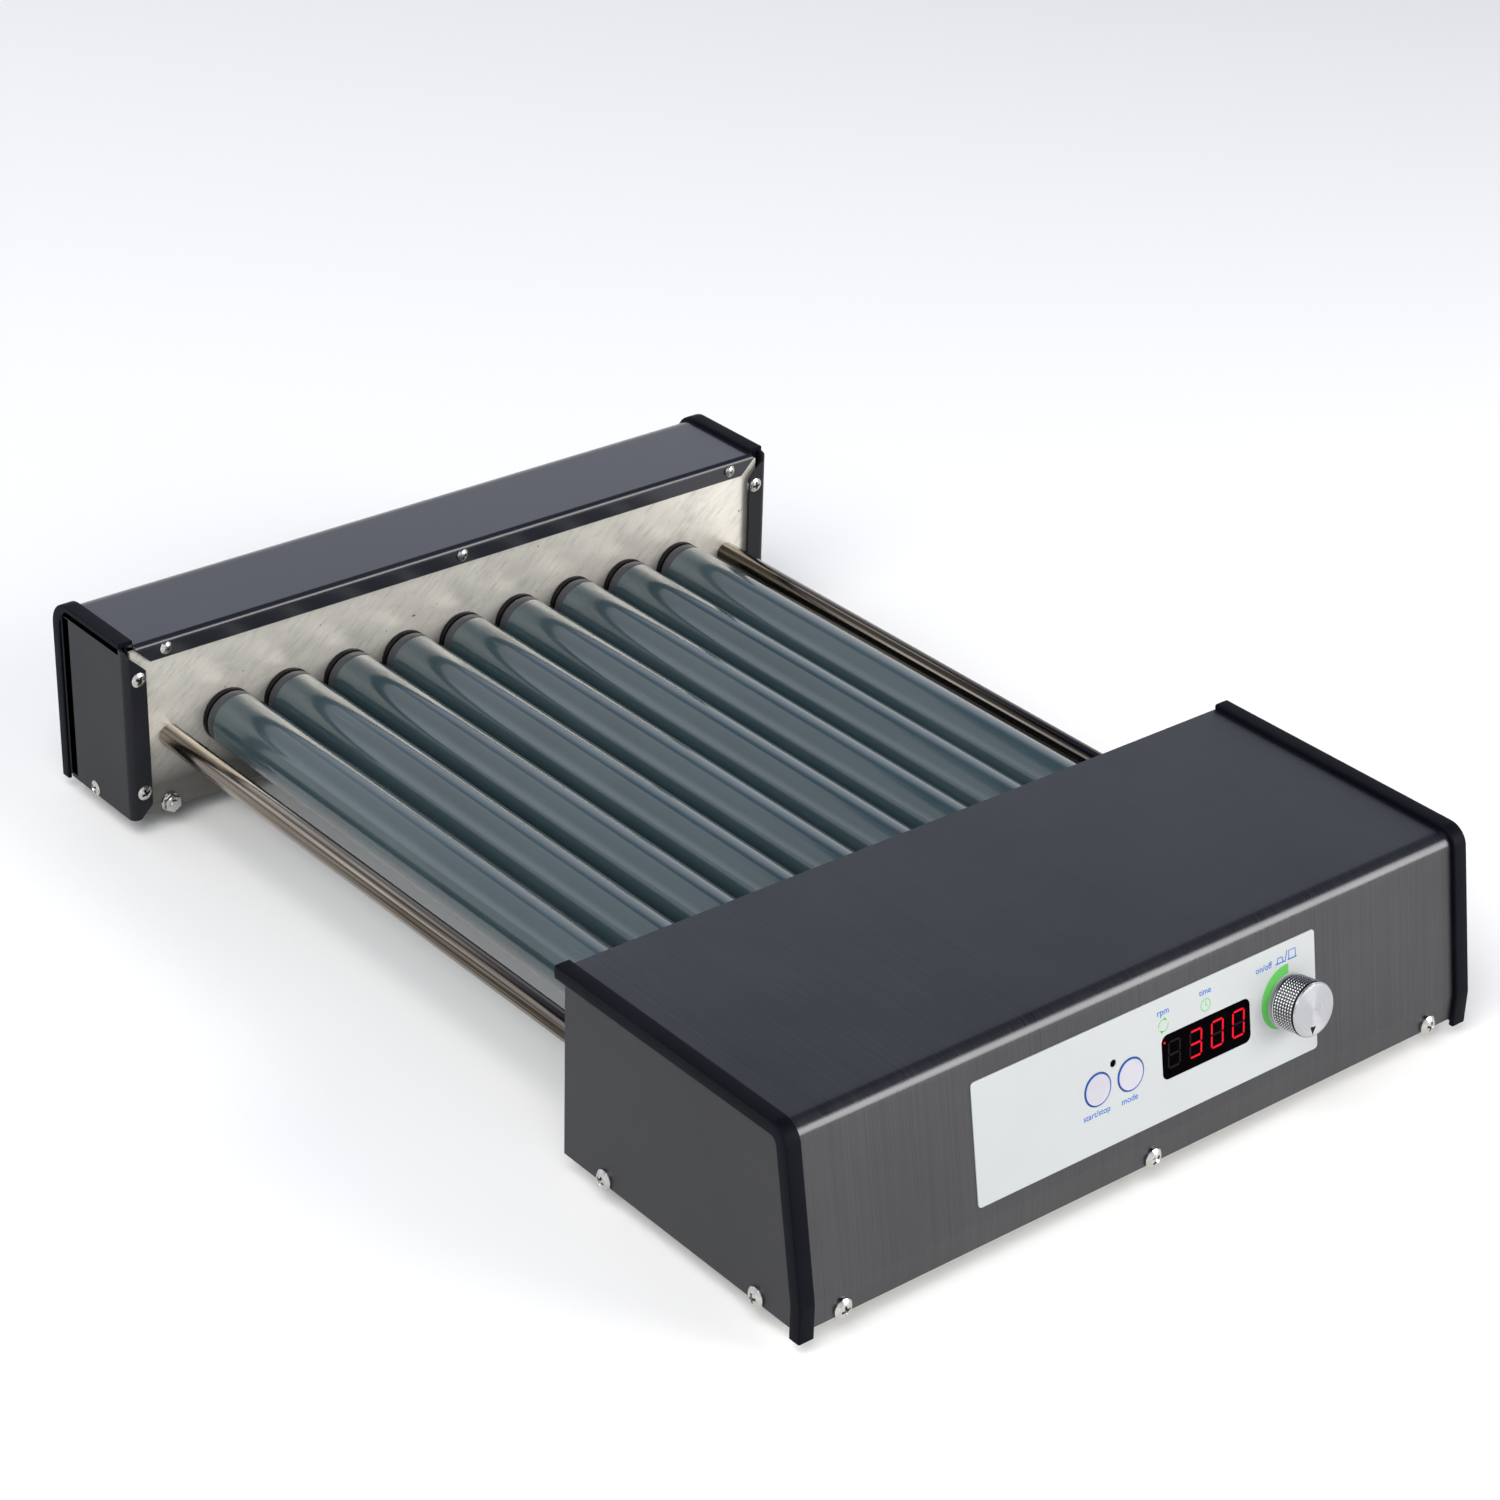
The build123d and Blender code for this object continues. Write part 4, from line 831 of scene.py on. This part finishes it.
# Flange nuts on the bright plate, each with the end of its threaded stud
NUT_FLAT = 3.5


def hex_wave(profile, angle):
    """Radius factor: a hexagon where the profile stands at the nut's flats, round elsewhere."""
    hexagon = 1 / np.cos((angle + pi / 6) % (pi / 3) - pi / 6)
    flat = profile[:, 0] == NUT_FLAT
    return np.where(flat[:, None], hexagon[None, :], 1.0)


nut_profile = [(0, 0), (4.4, 0), (4.5, 0.2), (4.2, 0.8), (3.9, 0.95), (NUT_FLAT, 1.0), (NUT_FLAT, 3.0),
               (3.3, 3.3), (2.1, 3.4)]
nut_profile += [(1.85 + 0.15 * (turn % 2), height) for turn, height in enumerate(np.linspace(3.4, 4.4, 9))]
nut_profile += [(0, 4.5)]
nuts = [turned(nut_profile, Place((x, PLATE_FACE, 10.6), *FRONTWARD), 48, wave=hex_wave)
        for x in (-149.7, 149.7)]
make_piece("flange_nuts", nuts, chrome.material, "frame", ["plate_nuts"])

# Printing on the control panel, as thin solids that stand a little out of the label
INK_LOW, INK_HIGH = LABEL_RISE - 0.02, LABEL_RISE + 0.03
WORD_MIDDLE, WORD_HALF, STROKE_GAIN = LABEL_RISE + 0.013, 0.012, 0.008


def lettering(words, width, place):
    """Plain lettering as closed flat solids, as wide as asked, its middle at the place's origin."""
    curve = bpy.data.curves.new(words, "FONT")
    curve.body, curve.offset = words, STROKE_GAIN
    curve.align_x, curve.align_y, curve.resolution_u = "CENTER", "CENTER", 6
    holder = bpy.data.objects.new(words, curve)
    bpy.context.scene.collection.objects.link(holder)
    curve.extrude = WORD_HALF * np.ptp(evaluated_arrays(holder)[0][:, 0]) * MM / width
    points, faces = evaluated_arrays(holder)
    bpy.data.objects.remove(holder)
    return place.moved(0, 0, WORD_MIDDLE)(points * width / np.ptp(points[:, 0])), faces


def arc(centre, radius, start, end, steps=24):
    """Points on an arc, its angles in degrees."""
    angle = np.radians(np.linspace(start, end, steps))
    return np.stack([centre[0] + radius * np.cos(angle), centre[1] + radius * np.sin(angle)], 1)


def ink(line_points, widths, closed=False):
    """A printed stroke on the label."""
    return ribbon(line_points, widths, INK_LOW, INK_HIGH, PANEL, closed)


# Each word with its width and the place of its middle
PRINTED_WORDS = (
    ("start/stop", 13.2, -27.7, 20.6),
    ("mode", 8.0, -11.3, 20.4),
    ("rpm", 5.7, 7.0, 48.6),
    ("time", 6.1, 28.5, 49.1),
    ("on/off", 8.6, 59.0, 47.6),
)
printing = [lettering(word, width, PANEL.moved(x, up)) for word, width, x, up in PRINTED_WORDS]

# Pictograms of the push switch, in and out, with a slash between them
printing += [ink([(65.2, 46.8), (70.1, 46.8)], 0.45), ink([(70.3, 46.5), (71.4, 50.8)], 0.4)]
printing += [ink([(66.1, 46.9), (66.5, 49.0), (68.8, 49.0), (69.2, 46.9)], 0.42)]
printing += [ink([(71.6, 46.8), (76.5, 46.8)], 0.45)]
printing += [ink([(72.3, 46.9), (72.3, 50.3), (75.8, 50.3), (75.8, 46.9)], 0.42)]
make_piece("blue_printing", printing, blue_ink.material, "frame", smooth=30)

# Crescent round the knob: widest near its upper end, and running out to a point at its lower one
sweep = np.linspace(90, 236, 60)
crescent_width = 4.3 * (1 - ((sweep - 125) / 112) ** 2) + 0.03
crescent_radius = 11.3 + crescent_width / 2
crescent_line = np.stack([KNOB_PLACE[0] + crescent_radius * np.cos(np.radians(sweep)),
                          KNOB_PLACE[1] + crescent_radius * np.sin(np.radians(sweep))], 1)
crescent = ink(crescent_line, crescent_width)
make_piece("speed_crescent", [crescent], green_ink.material, "frame")

# Signs over the display: a clock, and two arrows that follow each other round
SIGN_RADIUS, CLOCK, CYCLE = 2.4, (28.5, 43.7), (6.9, 43.2)
icons = [ink(arc(CLOCK, SIGN_RADIUS, 0, 360, 41)[:-1], 0.4, closed=True)]
icons += [ink([(28.5, 43.6), (28.5, 45.4)], 0.34), ink([(28.4, 43.7), (29.8, 43.2)], 0.34)]
icons += [ink(arc(CYCLE, SIGN_RADIUS, 60, 190), 0.4), ink(arc(CYCLE, SIGN_RADIUS, 235, 370), 0.4)]
icons += [ink([(7.3, 45.9), (9.0, 44.6)], (1.4, 0.05)), ink([(6.5, 40.5), (4.8, 41.8)], (1.4, 0.05))]
make_piece("green_icons", icons, pale_green_ink.material, "frame")


# Display: four places of seven segments, and a dot
def digit(left, low, width, height, slant=0.06, half=0.42, gap=0.2):
    """The seven segments of one figure as closed outlines, named a to g."""
    top, middle, bottom = height, height / 2, 0.0

    def bar(a, b):
        a, b = np.array(a, float), np.array(b, float)
        d = (b - a) / np.hypot(*(b - a))
        n = np.array([-d[1], d[0]]) * half
        a, b = a + d * gap, b - d * gap
        outline = np.array([a, a + d * half + n, b - d * half + n, b, b - d * half - n, a + d * half - n])
        outline[:, 0] += outline[:, 1] * slant
        return outline + [left, low]

    corners = dict(tl=(0, top), tr=(width, top), ml=(0, middle), mr=(width, middle),
                   bl=(0, bottom), br=(width, bottom))
    strokes = dict(a=("tl", "tr"), b=("tr", "mr"), c=("mr", "br"), d=("bl", "br"), e=("ml", "bl"),
                   f=("tl", "ml"), g=("ml", "mr"))
    return {name: bar(corners[start], corners[end]) for name, (start, end) in strokes.items()}


def segment(outline):
    """A part of the display, as thin as the ink."""
    return slab(outline, INK_LOW, INK_HIGH, PANEL, edge=0.015)


LIT_SEGMENTS = {"3": "abcdg", "0": "abcdef", " ": ""}
lit, unlit = [], []
for figure, left in zip(" 300", (8.6, 19.6, 30.7, 41.7)):
    for name, outline in digit(left, 25.3, 5.7, 10.2).items():
        group = lit if name in LIT_SEGMENTS[figure] else unlit
        group.append(segment(outline))
lit.append(segment(circle(0.5, (7.1, 36.1), 16)))
make_piece("lit_figures", lit, lit_segment.material, "frame", smooth=20)
make_piece("unlit_figures", unlit, dark_segment.material, "frame", smooth=20)

# Keys: a collar behind the panel, a rounded rim, a dished face, and a ring printed round it
collar = [[0, -3.3], [7.7, -3.3], [7.7, -1.55], [6.4, -1.5]]
rim = [[6.4, 0.4], [6.3, 0.58], [6.1, 0.68], [5.9, 0.7]]
inward = np.linspace(0, 1, 9)
dished = np.stack([5.7 * (1 - inward), 0.62 - 0.12 * (inward > 0) * np.sin(inward * pi / 2)], 1)
key_profile = np.concatenate([collar, rim, dished])
ring_section = [(5.95, 0.6), (6.3, 0.5), (6.44, 0.3), (6.42, 0.6), (6.32, 0.73), (5.95, 0.76)]
for word, x in KEY_XS.items():
    place, body = PANEL.moved(x, CONTROL_ROW), f"button_{word}"
    make_piece(f"key_{word}", [turned(key_profile, place, 56)], button_plastic.material,
               body, [body])
    make_piece(f"key_{word}_ring", [turned(ring_section, place, 56, closed=True)], navy_ink.material,
               body)

# Knob: knurled side, black band, spun face with a painted pointer
KNOB = PANEL.moved(*KNOB_PLACE)
KNOB_BORE, SIDE_FOOT, POINTER_TURN = 3.05, 10.5, -8.0
KNURL_TEETH, KNURL_PITCH, KNURL_RINGS, KNURL_DEPTH = 54, 1.3, 7, 0.55
KNURL_LOW = KNOB_BASE + 0.7
KNURL_HIGH = KNURL_LOW + KNURL_RINGS * KNURL_PITCH


def knurl(profile, angle):
    """Radius factor of a fine square knurl: deep grooves round the side, shallower ones across them."""
    radius, height = profile[:, :1], profile[:, 1:]
    ring = (1 - np.cos(2 * pi * (height - KNURL_LOW) / KNURL_PITCH)) / 2
    tooth = (1 - np.cos(KNURL_TEETH * angle[None, :])) / 2
    depth = KNURL_DEPTH * (1 - ring * (0.35 + 0.65 * tooth))
    inside = (height > KNURL_LOW - 0.01) & (height < KNURL_HIGH + 0.01) & (radius > SIDE_FOOT)
    return 1 - np.where(inside, depth, 0) / np.maximum(radius, 1)


side_profile = [(KNOB_BORE, KNOB_TOP - 1.6), (KNOB_BORE, KNOB_BASE), (SIDE_FOOT, KNOB_BASE),
                (10.9, KNOB_BASE + 0.3)]
side_profile += [(KNOB_RADIUS, level) for level in np.linspace(KNURL_LOW, KNURL_HIGH, 6 * KNURL_RINGS + 1)]
side_profile += [(10.4, KNURL_HIGH + 0.05), (10.4, KNOB_TOP - 0.9), (KNOB_BORE, KNOB_TOP - 0.9)]
knob_body = turned(side_profile, KNOB, 6 * KNURL_TEETH, closed=True, wave=knurl)
make_piece("knob_body", [knob_body], knob_side.material, "speed_knob", ["speed_knob"],
           smooth=50, uv=("round", KNOB, round_map))
band_section = [(10.2, KNURL_HIGH + 0.1), (10.85, KNURL_HIGH + 0.12), (10.88, KNURL_HIGH + 0.8),
                (10.2, KNURL_HIGH + 0.82)]
black_band = turned(band_section, KNOB, 96, closed=True)
make_piece("knob_line", [black_band], black_ink.material, "speed_knob")
face_profile = [(0, KNOB_TOP - 0.85), (10.0, KNOB_TOP - 0.85), (10.6, KNURL_HIGH + 0.86),
                (10.75, KNOB_TOP - 0.6), (10.2, KNOB_TOP - 0.05), (10.0, KNOB_TOP)]
face_profile += [(r, KNOB_TOP) for r in np.linspace(9.0, 0.0, 10)]
make_piece("knob_face", [turned(face_profile, KNOB, 96)], knob_face.material, "speed_knob",
           smooth=30, uv=("round", KNOB, round_map))
pointer = slab([(0, -9.7), (1.5, -6.6), (-1.5, -6.6)], KNOB_TOP - 0.05, KNOB_TOP + 0.04,
               KNOB.spun(radians(POINTER_TURN)), edge=0.02)
make_piece("knob_pointer", [pointer], black_ink.material, "speed_knob")

# Feet
foot_profile = rounded_rod(8.0, 0.0, UNDERSIDE, 1.2)
feet = [turned(foot_profile, Place((x, y, 0), *UPWARD), 40)
        for x in (-140.0, 140.0) for y in (-216.0465, -132.8, 220.75)]
make_piece("rubber_feet", feet, foot_rubber.material, "frame", ["feet"])

# Nodes whose own solids are shown, each with its finish
plain_nodes = {
    "drive_chassis": tray_steel, "bearing_chassis": plate_steel, "motor_bracket": tray_steel,
    "rod_bolts": chrome, "drive_belts": belt_rubber, "gear_motor": motor_metal,
    "motor_shaft": spindle_steel, "shaft_coupling": motor_metal, "control_label": label_film,
    "display_window": window_lens, "display_module": black_plastic, "control_board": laminate,
    "board_standoffs": standoff_brass, "push_switches": black_plastic, "speed_encoder": black_plastic,
    "encoder_shaft": spindle_steel, "power_inlet": black_plastic,
}
plain_nodes.update({f"roller_{number}_spindle": spindle_steel for number in range(1, 10)})
for node, finish in plain_nodes.items():
    for holder in nodes[node].material_slots:
        holder.material = finish.material

# Floor, light and camera
floor_material = Finish("studio_floor", (0.95, 0.945, 0.915), 0.0, 0.8)
floor_material.bump(floor_material.noise(40.0), 0.02)
floor_mesh = bpy.data.meshes.new("floor")
floor_mesh.from_pydata([(-6, -6, 0), (6, -6, 0), (6, 6, 0), (-6, 6, 0)], [], [(0, 1, 2, 3)])
floor_mesh.materials.append(floor_material.material)
floor = bpy.data.objects.new("studio_floor", floor_mesh)
bpy.context.scene.collection.objects.link(floor)

# Sky by how far a direction looks up: pale at the horizon, hazy above it, dark overhead
bpy.context.scene.view_settings.view_transform = "Standard"
world = bpy.data.worlds.new("studio")
world.use_nodes = True
sky = world.node_tree
background = sky.nodes["Background"]
direction = sky.nodes.new("ShaderNodeTexCoord").outputs["Generated"]
split = sky.nodes.new("ShaderNodeSeparateXYZ")
ramp = sky.nodes.new("ShaderNodeValToRGB")
band, dusk = ramp.color_ramp.elements
band.position, band.color = 0.30, (0.92, 0.93, 0.95, 1)
dusk.position, dusk.color = 0.64, (0.055, 0.065, 0.12, 1)
haze = ramp.color_ramp.elements.new(0.49)
haze.color = (0.7, 0.78, 1.0, 1)
sky.links.new(direction, split.inputs[0])
sky.links.new(split.outputs["Z"], ramp.inputs[0])
sky.links.new(ramp.outputs["Color"], background.inputs[0])
background.inputs[1].default_value = 1.08
bpy.context.scene.world = world


def matrix_of(right, up, back, place):
    """An object's matrix, from its three axes and its place in metres."""
    matrix = np.eye(4)
    matrix[:3] = np.stack([right, up, back, place], 1)
    return Matrix(matrix.tolist())


def softbox(name, place, target, width, height, power, color=(1, 1, 1)):
    """A rectangular soft light at a place, facing a target; both in metres."""
    lamp = bpy.data.lights.new(name, "AREA")
    lamp.shape, lamp.size, lamp.size_y, lamp.energy, lamp.color = "RECTANGLE", width, height, power, color
    holder = bpy.data.objects.new(name, lamp)
    place, target = np.array(place, float), np.array(target, float)
    back = (place - target) / np.linalg.norm(place - target)
    right = np.cross((0, 0, 1), back)
    right /= np.linalg.norm(right)
    holder.matrix_world = matrix_of(right, np.cross(back, right), back, place)
    bpy.context.scene.collection.objects.link(holder)


softbox("key_light", (-1.5, -0.7, 2.2), (0, 0, 0), 2.4, 2.4, 68, color=(1.0, 0.99, 0.97))
softbox("back_light", (-0.5, 1.9, 1.5), (0, 0, 0), 2.6, 1.4, 10)
softbox("front_strip", (1.15, -1.62, 0.82), (0, -0.23, 0.08), 1.3, 1.1, 30, color=(1.0, 0.97, 0.93))

# The photograph's camera: focal length and middle of the lens in its pixels, axes and place from the fit
PHOTO_SIDE, FOCAL_PIXELS, LENS_X, LENS_Y, SENSOR = 1500, 3749.44, 771.83, 758.02, 36.0
RIGHT = np.array([0.77300522, -0.63365116, 0.03080819])
DOWN = np.array([-0.28680297, -0.39236896, -0.87395117])
AHEAD = np.array([0.56586835, 0.66673294, -0.48503629])
VIEWPOINT = (-0.8413, -1.0099, 0.7991)
camera = bpy.data.cameras.new("camera")
camera.sensor_width, camera.sensor_fit = SENSOR, "HORIZONTAL"
camera.lens = SENSOR * FOCAL_PIXELS / PHOTO_SIDE
camera.shift_x = -(LENS_X - PHOTO_SIDE / 2) / PHOTO_SIDE
camera.shift_y = (LENS_Y - PHOTO_SIDE / 2) / PHOTO_SIDE
camera.clip_start, camera.clip_end = 0.05, 50
viewer = bpy.data.objects.new("camera", camera)
viewer.matrix_world = matrix_of(RIGHT, -DOWN, -AHEAD, VIEWPOINT)
bpy.context.scene.collection.objects.link(viewer)
bpy.context.scene.camera = viewer
